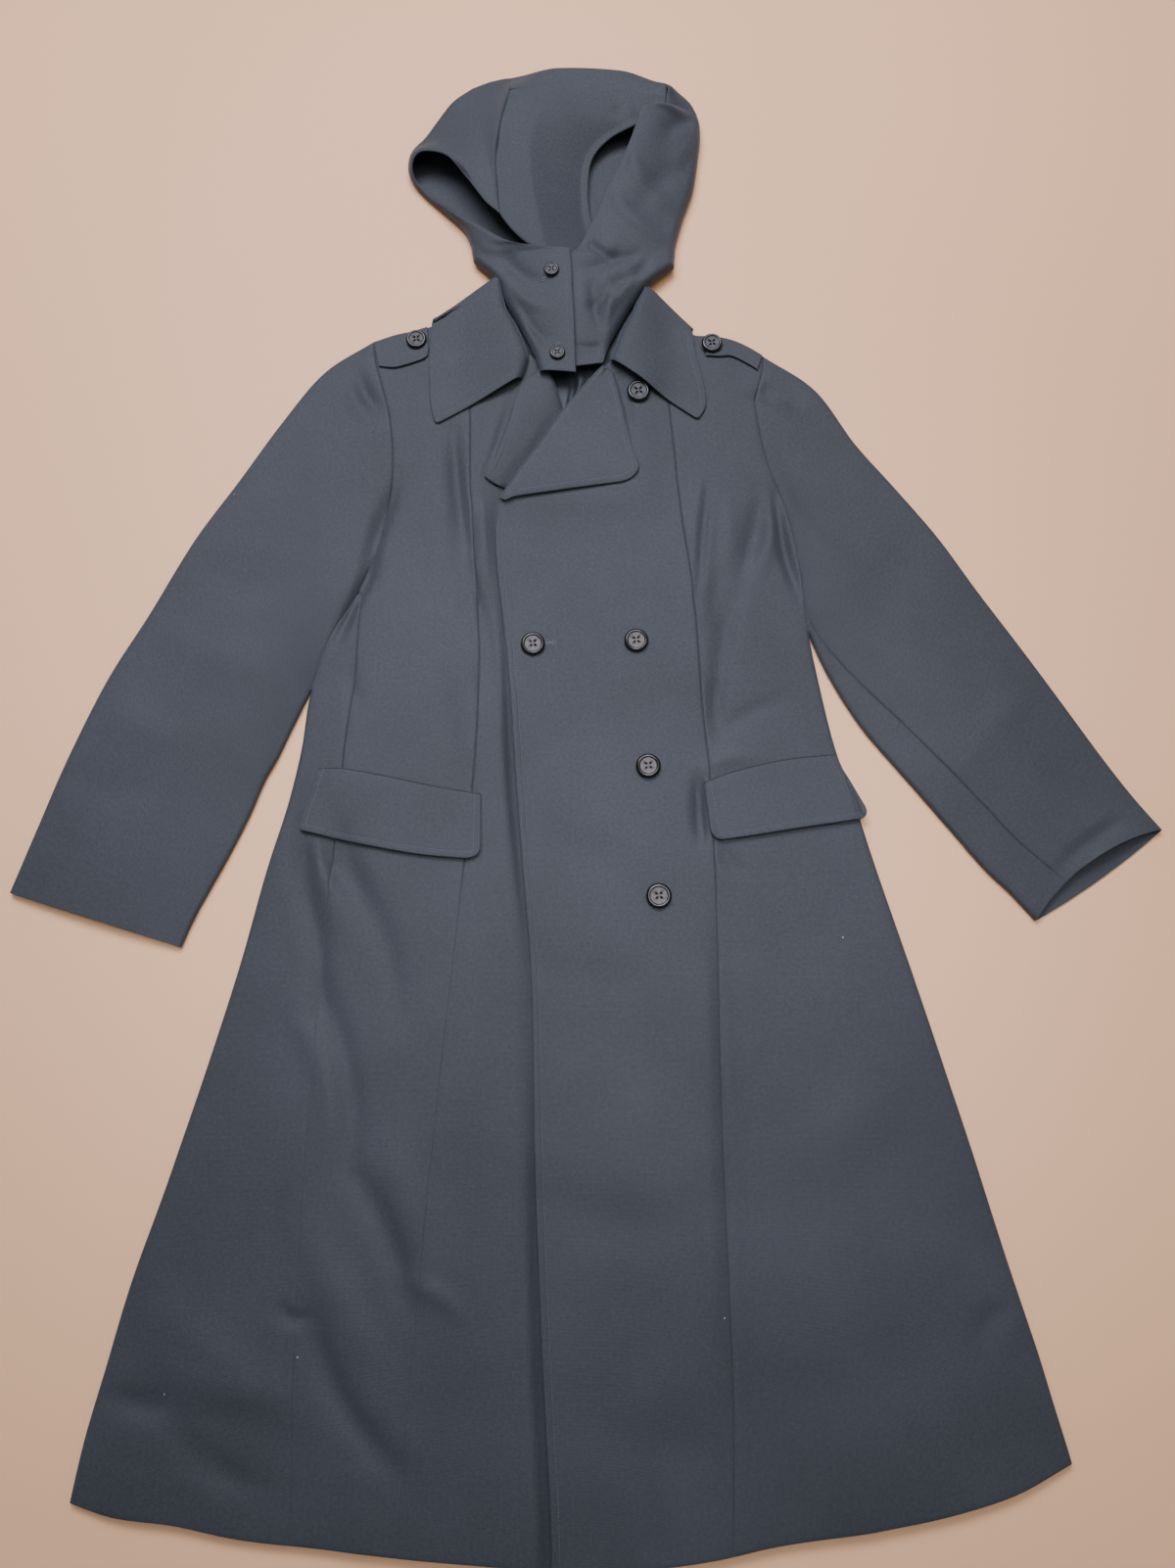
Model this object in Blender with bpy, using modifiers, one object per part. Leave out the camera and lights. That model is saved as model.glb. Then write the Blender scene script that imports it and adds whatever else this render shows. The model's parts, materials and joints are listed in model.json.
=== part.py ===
"""A military coat with a buttoned-on hood, lying flat on its back with its front up.

Metres, +Z up, +Y towards the hood, +X to the right of someone who looks down on it.
The floor is z = 0. Tables and driving sizes are in millimetres.
Left and right are the viewer's, so the wearer's left front, which closes on top, is `front_right`.
"""

import math

import bmesh
import bpy
import numpy as np

# Walls, in millimetres
CLOTH = 1.6
DOUBLE = 2.0
LINING = 1.0
SEAM = 0.3
SEAM_HOOD = 0.5
FOLD_RADIUS = 3.6
DOME = 4.6
DOME_REACH = 60.0
ON_THE_FOLD = 0.005
FOLD_TURN = (0, 18, 50, 90)
FOLD_GAP = 0.42
SLEEVE_FOLD_GAP = 0.7

# Where the middle of the footprint lies in the tables' own x and y
MIDDLE = np.array([2.0, 5.636, 0.0])

# The shoulder line is a fold between the neck and each sleeve head
NECK_LEFT = -107.0
HEAD_LEFT = -240.0
NECK_RIGHT = 66.0
HEAD_RIGHT = 196.0

# Lengthwise lines
HEM = -775.0
TOP = 450.0
FORK_LEFT = 34.0
FORK_RIGHT = 97.0
ARMPIT_LEFT = 142.0

# How far the under front sinks below the front that covers it, and how far from that front's
# edge it starts to
SINK = 3.4
SINK_UNDER_LAPEL = 7.0
SINK_START = 20.0
SINK_START_BY_LAPEL = 48.0
LAPEL_RAISE = 2.8
BACK_COLLAR_LIFT = 2.6

# Buttons
MAIN_BUTTON = 25.4
STRAP_BUTTON = 22.9
HOOD_BUTTON = 17.0


def table(text):
    """The named columns of a short table, whose first line holds the names."""
    rows = [line.split() for line in text.strip().splitlines()]
    values = np.array(rows[1:], float)
    return {name: values[:, k] for k, name in enumerate(rows[0])}


# The shoulder line, from the left sleeve head over the neck to the right sleeve head
SHOULDER = table("""
     x    y
  -240  442
  -219  450
  -173  461
  -145  480
  -107  509
   -60  513
    20  507
    66  497
    92  474
   113  452
   144  448
   175  438
   196  424
""")

# The hem, which bows down to the floor end of the centre front
HEMLINE = table("""
     x    y
  -466 -726
  -432 -736
  -367 -744
  -309 -755
  -237 -762
  -150 -771
   -85 -776
   -30 -780
    47 -779
   120 -770
   164 -761
   265 -747
   333 -734
   388 -718
   439 -694
""")

# Where each lengthwise line of the body lies: the side edges, which are the armholes above
# the fork, the left side seam, the front princess seams, the front edge that shows and the
# edge of the front beneath it. Above the break both front edges follow their roll lines.
BODY = table("""
  level  edge_l  side_l  princess_l  front_edge  hidden_edge  princess_r  edge_r
   450    -240    -240        -141          72         -110          88     196
   435    -238    -240        -140          64         -106          87     195
   405    -232    -240        -136          50          -90          86     190
   390    -228    -240        -134          40          -76          86     187
   378    -225    -240        -132          22          -54          87     185
   343    -217    -240        -129         -22          -27          91     187
   300    -212    -240        -128         -58           14          95     194
   262    -212    -240        -127         -83           50          98     205
   243    -215    -240        -125         -94           67         100     211
   220    -220    -240        -124         -98           70         102     217
   180    -230    -240        -121         -97           71         107     224
   142    -245    -241        -117         -93           72         112     228
    97    -268    -241        -114         -87           73         115     233
    34    -288    -244        -113         -80           79         118     243
   -30    -295    -250        -115         -75           84         123     256
   -80    -304    -253        -118         -71           89         126     271
  -150    -322    -257        -124         -65           95         128     290
  -250    -344    -262        -133         -56          104         129     319
  -350    -370    -266        -142         -52          108         129     347
  -450    -398    -269        -150         -49          111         130     374
  -550    -425    -270        -157         -44          116         132     396
  -650    -444    -268        -163         -38          122         133     415
  -720    -457    -266        -167         -33          127         131     427
  -775    -465    -265        -170         -31          129         129     438
""")

# Sections across the sleeves from the outer fold to the inner one, with how far the line
# between them bows towards the body. The first one is the armhole itself.
SLEEVE_LEFT = table("""
  outer_x outer_y  inner_x inner_y  bow
     -240     442     -288      34    0
     -293     403     -296      16   26
     -337     341     -306      -8   20
     -379     272     -318     -37   14
     -422     203     -331     -64    9
     -464     118     -343     -97    5
     -501      47     -360    -136    2
     -534     -37     -377    -171    0
     -558    -111     -391    -200    0
     -579    -177     -403    -231    0
""")
SLEEVE_RIGHT = table("""
  outer_x outer_y  inner_x inner_y  bow
      196     424      234      97    0
      252     382      243      70   14
      293     317      256      42   10
      333     265      272      13    7
      376     207      289     -13    4
      415     144      311     -41    2
      455      82      339     -76    0
      492      23      369    -114    0
      529     -37      399    -152    0
      557     -79      424    -178    0
      583    -113      447    -205    0
""")
# How far the cloth of the open right cuff draws back on top, and reaches out underneath
CUFF_DRAWN_BACK = 17.0
CUFF_REACH = 4.0
# The seam that shows on the right sleeve, as a share of the width from its outer fold
SLEEVE_SEAM_AT_HEAD = 0.93
SLEEVE_SEAM_AT_CUFF = 0.70

# The largest folds: soft ridges (height above nought) and troughs (below it)
FOLDS = table("""
    x1    y1    x2    y2  width height
  -150   330  -128   120     13   -4.0
  -128   120  -101    10     12   -3.5
   128   262   116   120     15    3.6
   180   245   140    60     16    3.8
   148   250   134   100     11   -3.0
  -284   -96  -246  -205     15    3.8
  -256  -100  -224  -205     13   -3.0
  -190  -420  -158  -520     18    3.4
  -262  -500  -175  -640     17    3.6
  -410  -560  -270  -650     20    3.8
   130  -200   132  -640     16   -2.6
  -265   405  -232   350     12   -3.0
   195   370   240   388     12   -3.0
   505  -140   540  -168     40    9.0
   -96  -600   -70  -330     30    3.0
""")

# Where the upper front's edge stands off the cloth beneath it
EDGE_LIFT = table("""
  level  lift
   240     0
   120     0
    60     2
   -20     4
  -120     2
  -300     1
  -430     4
  -600     5
  -775     3
""")

# The collar, row by row round the neck from its left tip to its right tip. Rows with side 1
# lie on the fronts, rows with side -1 under the back, and rows with side 0 turn over the shoulder.
COLLAR = table("""
  inner_x inner_y  outer_x outer_y  side
      -72     390     -166     336     1
      -67     405     -172     358     1
      -66     421     -175     395     1
      -79     455     -175     430     1
      -93     482     -174     452     1
     -104     514     -171     463     0
      -88     512     -146     440    -1
      -60     515      -92     424    -1
      -20     515      -20     420    -1
       25     508       52     423    -1
       52     500       96     436    -1
       69     502      115     453     0
       53     478      120     424     1
       45     462      126     398     1
       37     446      130     374     1
       30     425      129     356     1
       25     410      121     341     1
""")
COLLAR_FALL = 2.8
COLLAR_ROLL = 8.5
COLLAR_TURN = 5.0
# The collar bulges where it lies on the fifth main button
COLLAR_BULGE = 4.6
COLLAR_BULGE_X = 58.0
COLLAR_BULGE_Y = 378.0
COLLAR_BULGE_REACH = 24.0

# The lapels, row by row from the break up to the collar: the level at which each row leaves
# the roll line, and its outer end
LAPEL_RIGHT = table("""
  level  outer_x outer_y
   246       44     267
   262       54     278
   300       49     306
   343       42     342
   362       35     376
   375       28     399
""")
LAPEL_LEFT = table("""
  level  outer_x outer_y
   246      -96     264
   262     -109     272
   300     -103     290
   343      -88     333
   360      -79     366
   374      -72     386
""")

# The roll of a lapel, from below its roll line round to the front that it lies on: how far out
# from the roll line, how far above the front, and the share of its lift that is added
LAPEL_ROLL = table("""
   out   up  share
  -2.8 -0.5    0.0
  -2.3  1.9    0.0
  -0.3  3.5    0.3
   5.0  3.3    1.0
""")
LAPEL_SWELL = 1.2

# The pocket flaps, from end to end: the sewn top edge and the free lower edge
FLAP_LEFT = table("""
  top_x top_y  low_x low_y
   -276   -50   -293  -114
   -249   -50   -272  -119
   -205   -58   -223  -130
   -158   -68   -166  -140
   -108   -77   -107  -145
""")
FLAP_RIGHT = table("""
  top_x top_y  low_x low_y
    118   -65    125  -126
    150   -53    162  -121
    195   -42    211  -113
    230   -37    250  -107
    254   -35    287  -101
""")
FLAP_CORNER = 13.0
FLAP_LIFT = 2.2

# The shoulder straps, from the armhole to the button end: the edge at the shoulder, the lower edge
STRAP_LEFT = table("""
  upper_x upper_y  lower_x lower_y
     -238     437     -231     408
     -222     445     -214     406
     -205     450     -196     410
     -190     456     -179     417
     -179     459     -176     428
""")
STRAP_RIGHT = table("""
  upper_x upper_y  lower_x lower_y
      195     424      188     404
      180     434      178     411
      162     442      160     420
      144     446      146     419
      133     447      131     420
""")

# The hood's side panels, from the neck round to the crown seam. `fold` is the outline, `free`
# the edge at the chin, along the face and then the crown seam, `floor` the row's end below.
HOOD_LEFT = table("""
  fold_x fold_y  free_x free_y free_z belly  floor_y
     -52    394     -13     391     27     0      470
     -59    418     -14     420     28     0      490
     -74    452     -15     455     30     0      505
     -90    484     -17     488     31     1      515
   -101.5   513     -18     517     32     1      527
    -129    541     -20     542     33     1      545
    -131    551     -48     546     31     2      558
    -133    563     -76     550     28     4      568
    -142    584     -98     563     21     5      582
    -162    605    -130     590     15     3      600
    -187    629    -170     621      9     1      620
    -203    649    -197     645     13     0      640
    -208    668    -200     661     24     1      662
    -204    686    -188     669     31     2      684
    -189    705    -160     660     35     3      706
    -175    728    -137     632     35     4      724
    -158    754    -115     601     34     6      740
    -136    772     -99     586     33     8      754
    -116    781    -104     650     37     5      764
    -101    785     -99     702     38     3      770
     -91     787     -90     750     32     0      774
""")
HOOD_RIGHT = table("""
  fold_x fold_y  free_x free_y free_z belly  floor_y
      17     406     -42     398     20     1      470
      24     430     -42     425     21     2      490
      34     452     -42     455     22     3      505
      49     480     -41     490     24     4      515
      65     504     -39     518     25     5      527
      98     533     -34     538     26     6      552
      99     548     -12     546     26     7      562
     101     566       8     585     28     6      574
     110     600      24     622     32     5      600
     122     637      37     650     35     4      636
     128     676      48     676     38     3      672
     131     700      56     701     38     3      700
   131.5     714      63     723     38     2      714
     131     725      82     729     37     1      724
     128     738      91     736     29    -2      736
     121     752      92     745     31    -1      748
     108     765      93     753     33     1      760
      94     775      92     761     29     0      770
""")
# The two seams on the hood's floor side, between its middle strip and its side panels
HOOD_FLOOR_SEAMS = table("""
     y   left  right
   470    -50     25
   550    -51     32
   592    -54     36
   636    -58     42
   700    -64     52
   742    -71     63
   765    -81     78
   775    -86     87
   785    -86     88
""")

# The hood's centre panel, from the face edge up to the crown: its two edges, how far the row
# bows towards the crown between them, the heights of its ends and the hollow between them
HOOD_CROWN = table("""
  left_x left_y  right_x right_y  bow  left_z  right_z  hollow
   -99.0    586     13.0     576  -40    33.0     18.0      10
  -101.5    618      3.0     606  -20    35.0     20.5      12
  -104.0    650      1.0     643   -8    37.0     23.0      12
  -101.5    676      6.0     675    0    37.5     26.0      12
   -99.0    702     26.0     698    6    38.0     28.5      10
   -94.5    727     58.0     713    8    34.9     31.0       7
   -92.3    738     78.0     724    6    33.5     28.5       5
   -91.0    745     90.7     738    8    32.6     29.0       3
   -90.0    752     91.6     746   10    31.0     31.5       3
""")
HOOD_CROWN_BOW = 10.6
HOOD_CROWN_HIGH = 30.0
HOOD_TURN_GAP_LEFT = 0.6
HOOD_TURN_GAP_RIGHT = 1.5
HOOD_FOLD_HEIGHT = 7.0
# Where the rows of its floor side lie, from the crown's fold to the neck
HOOD_FLOOR_ROWS = (764, 754, 740, 720, 700, 672, 640, 600, 560, 545, 532, 515, 495, 478)
HOOD_NECK_REST = BACK_COLLAR_LIFT + CLOTH + 0.8 + LINING + 0.35

# The stretch of lining that shows in the neck
NECK_LINING = table("""
  left_x left_y  right_x right_y
     -88    500       52     490
     -80    440       45     435
     -62    395       35     395
     -38    355        0     360
""")

MAIN_BUTTONS = table("""
    x     y
  -57    83
   51    87
   62   -48
   71  -181
   56   375
""")
STRAP_BUTTONS = table("""
     x    y
  -190  439
   138  434
""")
HOOD_BUTTONS = table("""
    x    y
  -40  515
  -33  414
""")


def along(at, knots, values):
    """A smooth curve through a table's rows, read at `at`, and straight beyond its ends."""
    order = np.argsort(knots)
    k, v = knots[order], values[order]
    step = np.diff(k)
    rise = np.diff(v) / step
    inner = (rise[:-1] * step[1:] + rise[1:] * step[:-1]) / (step[:-1] + step[1:])
    slope = np.concatenate([rise[:1], inner, rise[-1:]])
    at = np.asarray(at, float)
    i = np.clip(np.searchsorted(k, at) - 1, 0, len(step) - 1)
    t = (at - k[i]) / step[i]
    c = np.clip(t, 0, 1)
    curve = (
        v[i] * (1 + 2 * c) * (1 - c) ** 2
        + slope[i] * step[i] * c * (1 - c) ** 2
        + v[i + 1] * c * c * (3 - 2 * c)
        + slope[i + 1] * step[i] * c * c * (c - 1)
    )
    return curve + np.where(t < 0, slope[i], slope[i + 1]) * (t - c) * step[i]


def ramp(value, start, end):
    """A soft step from 0 at `start` to 1 at `end`."""
    t = np.clip((np.asarray(value, float) - start) / (end - start), 0, 1)
    return t * t * (3 - 2 * t)


def rounding(distance, radius=FOLD_RADIUS):
    """The quarter circle at a fold: 0 on the fold itself and 1 from one radius inwards."""
    inside = 1 - np.clip(distance, 0, radius) / radius
    return np.sqrt(1 - inside * inside)


def roll_steps(radius=FOLD_RADIUS):
    """Distances from a fold that share its quarter circle out evenly."""
    return [radius * (1 - math.cos(math.radians(a))) for a in FOLD_TURN]


def row_value(rows, column, at):
    """A column of a table read between its rows, which are numbered from 0."""
    return along(at, np.arange(len(rows[column]), dtype=float), rows[column])


def body_x(column, level):
    return along(level, BODY["level"], BODY[column])


def body_y(x, level):
    """Level lines are straight at the waist and bow to meet the hem and the shoulders."""
    hem = along(x, HEMLINE["x"], HEMLINE["y"])
    top = along(x, SHOULDER["x"], SHOULDER["y"])
    low = (hem - HEM) * ramp(level, -430, HEM)
    high = (top - TOP) * ramp(level, 300, TOP)
    return level + low + high


def level_at(x, y):
    """The level of the level line that passes through a point: the inverse of `body_y`."""
    level = np.asarray(y, float)
    for _ in range(12):
        level = level + 0.8 * (y - body_y(x, level))
    return level


def sleeve_point(rows, section, share, bow_scale=1.0):
    """A point of a sleeve in plan, `share` of the way from the outer fold to the inner one."""
    ox, oy, ix, iy, bow = (
        row_value(rows, name, section) for name in ("outer_x", "outer_y", "inner_x", "inner_y", "bow")
    )
    dx, dy = ix - ox, iy - oy
    length = np.hypot(dx, dy)
    side = np.sign(-ox)
    out = side * bow * bow_scale * 4 * share * (1 - share)
    return ox + dx * share - out * dy / length, oy + dy * share + out * dx / length


# Levels at which the body's panels are cut into rows, and where the sleeves join them
LEVELS = [HEM, -735, -680, -615, -540, -460, -380, -300, -225, -155, -95, -35, 34, 97, 142]
LEVELS += [180, 220, 246, 262, 300, 343, 362, 378, 400, 425]
LEVELS += [TOP - d for d in reversed(roll_steps())]


def fold_lines():
    """The outline wherever it is a fold: shoulders, sleeves and sides, as runs of segments."""
    runs = []
    for rows, edge, fork, neck, head in (
        (SLEEVE_LEFT, "edge_l", FORK_LEFT, NECK_LEFT, HEAD_LEFT),
        (SLEEVE_RIGHT, "edge_r", FORK_RIGHT, NECK_RIGHT, HEAD_RIGHT),
    ):
        last = len(rows["bow"]) - 1
        xs = np.linspace(neck, head, 60)[:-1]
        shoulder = np.stack([xs, along(xs, SHOULDER["x"], SHOULDER["y"])], 1)
        down = np.linspace(0, last, 8 * last + 1)
        outer = np.stack(sleeve_point(rows, down, 0.0), 1)
        inner = np.stack(sleeve_point(rows, down[::-1], 1.0), 1)
        cut = [v for v in LEVELS if v < fork]
        levels = np.unique(np.append(np.linspace(fork, HEM, 60), cut))[-2::-1]
        x = body_x(edge, levels)
        edge_line = np.stack([x, body_y(x, levels)], 1)
        runs += [np.concatenate([shoulder, outer]), np.concatenate([inner, edge_line])]
    return runs


SEGMENTS = np.concatenate([np.concatenate([run[:-1], run[1:]], 1) for run in fold_lines()])


def fold_distance(x, y):
    """How far each point lies from the nearest folded edge."""
    p = np.stack([np.ravel(x), np.ravel(y)], 1).astype(float)
    a, b = SEGMENTS[:, :2], SEGMENTS[:, 2:]
    run = b - a
    square = (run * run).sum(1)
    to = p[:, None] - a
    t = np.clip((to * run).sum(2) / square, 0, 1)
    gap = to - t[..., None] * run
    distance = np.sqrt((gap * gap).sum(2).min(1)).reshape(np.shape(x))
    return np.where(distance < ON_THE_FOLD, 0.0, distance)


def folds_at(x, y):
    """The height that the largest folds add."""
    total = np.zeros(np.shape(x))
    for x1, y1, x2, y2, width, height in zip(*FOLDS.values()):
        dx, dy = x2 - x1, y2 - y1
        square = dx * dx + dy * dy
        t = ((x - x1) * dx + (y - y1) * dy) / square
        c = np.clip(t, 0, 1)
        off = np.hypot(x - x1 - c * dx, y - y1 - c * dy)
        total = total + height * np.exp(-((off / width) ** 2)) * (0.35 + 0.65 * np.sin(np.pi * c))
    return total


def back_lift(x, y):
    """The back rises where the collar's back fall lies under it."""
    return BACK_COLLAR_LIFT * ramp(y, 368, 420) * ramp(np.abs(x + 20), 205, 156)


def floor_side(x, y):
    """Height of the outer face on the floor side."""
    return back_lift(x, y) + FOLD_RADIUS * (1 - rounding(fold_distance(x, y)))


def top_side(x, y):
    """Height of the outer face on top: the coat's main surface."""
    distance = fold_distance(x, y)
    flat = 2 * FOLD_RADIUS + DOME * (1 - np.exp(-distance / DOME_REACH))
    flat = flat + folds_at(x, y) * ramp(distance, 4, 34)
    return back_lift(x, y) + FOLD_RADIUS + (flat - FOLD_RADIUS) * rounding(distance)


def past_front_edge(x, y):
    """How far a point lies to the right of the upper front's edge, on its own level line."""
    return x - body_x("front_edge", level_at(x, y))


def upper_front(x, y):
    """The top of the front that closes over the other, with its edge lifted here and there."""
    past = np.clip(past_front_edge(x, y), 0, None)
    lift = along(y, EDGE_LIFT["level"], EDGE_LIFT["lift"]) * ramp(y, 240, 200)
    raised = LAPEL_RAISE * ramp(y, 218, 256) * ramp(x, 92, 52)
    return top_side(x, y) + lift * np.exp(-past / 22) + raised


def under_front(x, y):
    """The top of the front that runs on beneath the upper one."""
    by_lapel = ramp(y, 222, 262)
    start = SINK_START + (SINK_START_BY_LAPEL - SINK_START) * by_lapel
    sink = SINK + (SINK_UNDER_LAPEL - SINK) * by_lapel
    return top_side(x, y) - sink * ramp(past_front_edge(x, y), -start, 1)


def laid_on(surface, x, y, off):
    """Points of a surface moved out along its own normal."""
    step = 0.5
    z = surface(x, y)
    gx = (surface(x + step, y) - surface(x - step, y)) / (2 * step)
    gy = (surface(x, y + step) - surface(x, y - step)) / (2 * step)
    size = np.sqrt(1 + gx * gx + gy * gy)
    return np.stack([x - off * gx / size, y - off * gy / size, z + off / size], -1)


def stack(x, y, z):
    return np.stack(np.broadcast_arrays(x, y, z), -1).astype(float)


# Materials and objects
COLLECTION = "military_coat"


def linear(hex_colour):
    """An sRGB colour as the linear values that a shader takes."""
    parts = [int(hex_colour[i : i + 2], 16) / 255 for i in (0, 2, 4)]
    return [c / 12.92 if c <= 0.04045 else ((c + 0.055) / 1.055) ** 2.4 for c in parts] + [1.0]


def material(name, colour, roughness):
    made = bpy.data.materials.get(name)
    if made is None:
        made = bpy.data.materials.new(name)
        made.use_nodes = True
        shader = made.node_tree.nodes["Principled BSDF"]
        shader.inputs["Base Color"].default_value = linear(colour)
        shader.inputs["Roughness"].default_value = roughness
        shader.inputs["Metallic"].default_value = 0.0
    return made


def twill():
    return material("blue_grey_twill", "414953", 0.85)


def satin():
    return material("lining_satin", "39444b", 0.45)


def button_black():
    return material("button_plastic", "23262a", 0.35)


def clear_scene():
    for item in list(bpy.data.objects):
        bpy.data.objects.remove(item)
    for group in list(bpy.data.collections):
        bpy.data.collections.remove(group)
    group = bpy.data.collections.new(COLLECTION)
    bpy.context.scene.collection.children.link(group)
    cutters = bpy.data.collections.new("cutters")
    bpy.context.scene.collection.children.link(cutters)


def sheet(name, grids, wall, finish, up=True):
    """One cloth piece: grids of points, joined where their edges meet, given a wall inwards.

    Each grid is rows by columns of points, and `up` says that the first one faces up.
    """
    form = bmesh.new()
    for grid in grids:
        made = [[form.verts.new((np.asarray(p) - MIDDLE) * 0.001) for p in row] for row in grid]
        for low, high in zip(made[:-1], made[1:]):
            for a, b, c, d in zip(low[:-1], low[1:], high[1:], high[:-1]):
                form.faces.new((a, b, c, d))
    bmesh.ops.remove_doubles(form, verts=form.verts, dist=1e-6)
    bmesh.ops.recalc_face_normals(form, faces=form.faces)
    form.normal_update()
    form.faces.ensure_lookup_table()
    first_row = form.faces[: len(grids[0][0]) - 1]
    facing = sum(face.normal.z * face.calc_area() for face in first_row)
    if (facing > 0) != up:
        bmesh.ops.reverse_faces(form, faces=form.faces)
    mesh = bpy.data.meshes.new(name)
    form.to_mesh(mesh)
    form.free()
    mesh.shade_smooth()
    mesh.materials.append(finish)
    item = bpy.data.objects.new(name, mesh)
    bpy.data.collections[COLLECTION].objects.link(item)
    thick = item.modifiers.new("wall", "SOLIDIFY")
    thick.thickness = wall * 0.001
    thick.offset = -1.0
    thick.use_even_offset = True
    thick.use_quality_normals = True
    return item


def body_grid(columns, levels, height, lift=0.0):
    """Rows of a body panel between two lines. `columns` gives each row's x values."""
    rows = []
    for level in levels:
        x = np.array(columns(level), float)
        y = body_y(x, level)
        rows.append(stack(x, y, height(x, y) + lift * (1 - rounding(fold_distance(x, y)))))
    return rows


def between(left, right, shares, gap_left=SEAM / 2, gap_right=SEAM / 2):
    """Columns that share out the width between two lines, half a seam gap inside each."""

    def columns(level):
        a, b = left(level) + gap_left, right(level) - gap_right
        return [a + (b - a) * s for s in shares]

    return columns


def line(column):
    return lambda level: float(body_x(column, level))


def middle_back(level):
    return 0.5 * (line("edge_l")(level) + line("edge_r")(level))


def back_princess(side, at_waist=0.52):
    edge = line("edge_l" if side < 0 else "edge_r")
    return lambda level: middle_back(level) + (edge(level) - middle_back(level)) * at_waist


def even(count):
    return list(np.linspace(0, 1, count + 1))


def back_panels():
    seams = (back_princess(-1), middle_back, back_princess(1))
    for name, left, right in zip(("back_left", "back_right"), seams[:-1], seams[1:]):
        grid = body_grid(between(left, right, even(3)), LEVELS, floor_side, -FOLD_GAP)
        sheet(name, [grid], CLOTH, twill(), False)


def toward_fold(seam, edge, count, gap=0.0):
    """Columns from a seam out to a folded edge, close together round the fold."""

    def columns(level):
        a, b = seam(level), edge(level)
        side = 1 if b > a else -1
        a, b = a + side * SEAM / 2, b - side * gap
        radius = min(FOLD_RADIUS, 0.6 * abs(b - a))
        inner = b - side * radius
        plain = [a + (inner - a) * s for s in even(count)]
        turned = [b - side * d for d in roll_steps(radius)[2::-1]]
        return plain + turned

    return columns


def parted_at_shoulder(x, y):
    """The floor side where the piece runs on round the side fold but ends at the shoulder."""
    at_fold = 1 - rounding(fold_distance(x, y))
    return floor_side(x, y) - FOLD_GAP * at_fold * ramp(y, 300, 380)


def side_back_left():
    """From the back princess seam, round the folded side, to the side seam on top."""
    edge = line("edge_l")

    def gap(level):
        return SEAM if level > FORK_LEFT else 0.0

    def under(level):
        return toward_fold(back_princess(-1), edge, 2, gap(level))(level)

    def over(level):
        return toward_fold(line("side_l"), edge, 3, gap(level))(level)

    below = body_grid(under, LEVELS, parted_at_shoulder)
    on_top = body_grid(over, [v for v in LEVELS if v <= ARMPIT_LEFT], top_side)
    sheet("side_back_left", [below, on_top], CLOTH, twill(), False)


def side_back_right():
    columns = toward_fold(back_princess(1), line("edge_r"), 3, 0.0)
    sheet("side_back_right", [body_grid(columns, LEVELS, floor_side, -FOLD_GAP)], CLOTH, twill(), False)


def side_front_left():
    def columns(level):
        left = line("edge_l")(level) if level > ARMPIT_LEFT else line("side_l")(level)
        return between(lambda _: left, line("princess_l"), even(4))(level)

    sheet("side_front_left", [body_grid(columns, LEVELS, top_side, FOLD_GAP)], CLOTH, twill())


def side_front_right():
    columns = toward_fold(line("princess_r"), line("edge_r"), 5, 0.0)
    sheet("side_front_right", [body_grid(columns, LEVELS, top_side, FOLD_GAP)], CLOTH, twill())


def front_left():
    """The under front: it shows to the left of the upper front's edge and runs on beneath it."""

    def columns(level):
        a, b = line("princess_l")(level) + SEAM / 2, line("hidden_edge")(level)
        shown = min(line("front_edge")(level) + 1, b - 6)
        by_lapel = float(ramp(level, 222, 262))
        start = SINK_START + (SINK_START_BY_LAPEL - SINK_START) * by_lapel
        step = max(a + 8, shown - start)
        shown = max(shown, step + 6)
        b = max(b, shown + 6)
        covered = [0.5 * (step + shown), shown, 0.5 * (shown + b), b]
        return [a + (step - a) * s for s in even(3)] + covered

    sheet("front_left", [body_grid(columns, LEVELS, under_front, FOLD_GAP)], CLOTH, twill())


def front_right():
    columns = between(line("front_edge"), line("princess_r"), [0, 0.06, 0.2, 0.4, 0.6, 0.8, 1], 0.0)
    sheet("front_right", [body_grid(columns, LEVELS, upper_front, FOLD_GAP)], CLOTH, twill())


def sleeve_shares(edge, fork):
    """Shares of the armhole's length at which the body's rows meet it, from shoulder to fork."""
    levels = np.array([v for v in LEVELS if v > fork][::-1] + [fork], float)
    x = body_x(edge, levels)
    y = body_y(x, levels)
    run = np.concatenate([[0], np.cumsum(np.hypot(np.diff(x), np.diff(y)))])
    return run / run[-1], levels


def armhole_point(edge, side, known, levels, share):
    """A point of the armhole's sleeve side, `share` of the way from the shoulder to the fork."""
    level = np.interp(share, known, levels)
    x = body_x(edge, level)
    return x + side * (SEAM + 0.15), body_y(x, level)


def share_at_fold(point, target, end):
    """The share of a row, near one of its ends, that lies `target` from the folded outline."""
    low, high = 0.0, 0.1
    for _ in range(24 if target else 0):
        middle = 0.5 * (low + high)
        x, y = point(abs(end - middle))
        low, high = (middle, high) if fold_distance(x, y) < target else (low, middle)
    return abs(end - low)


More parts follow.
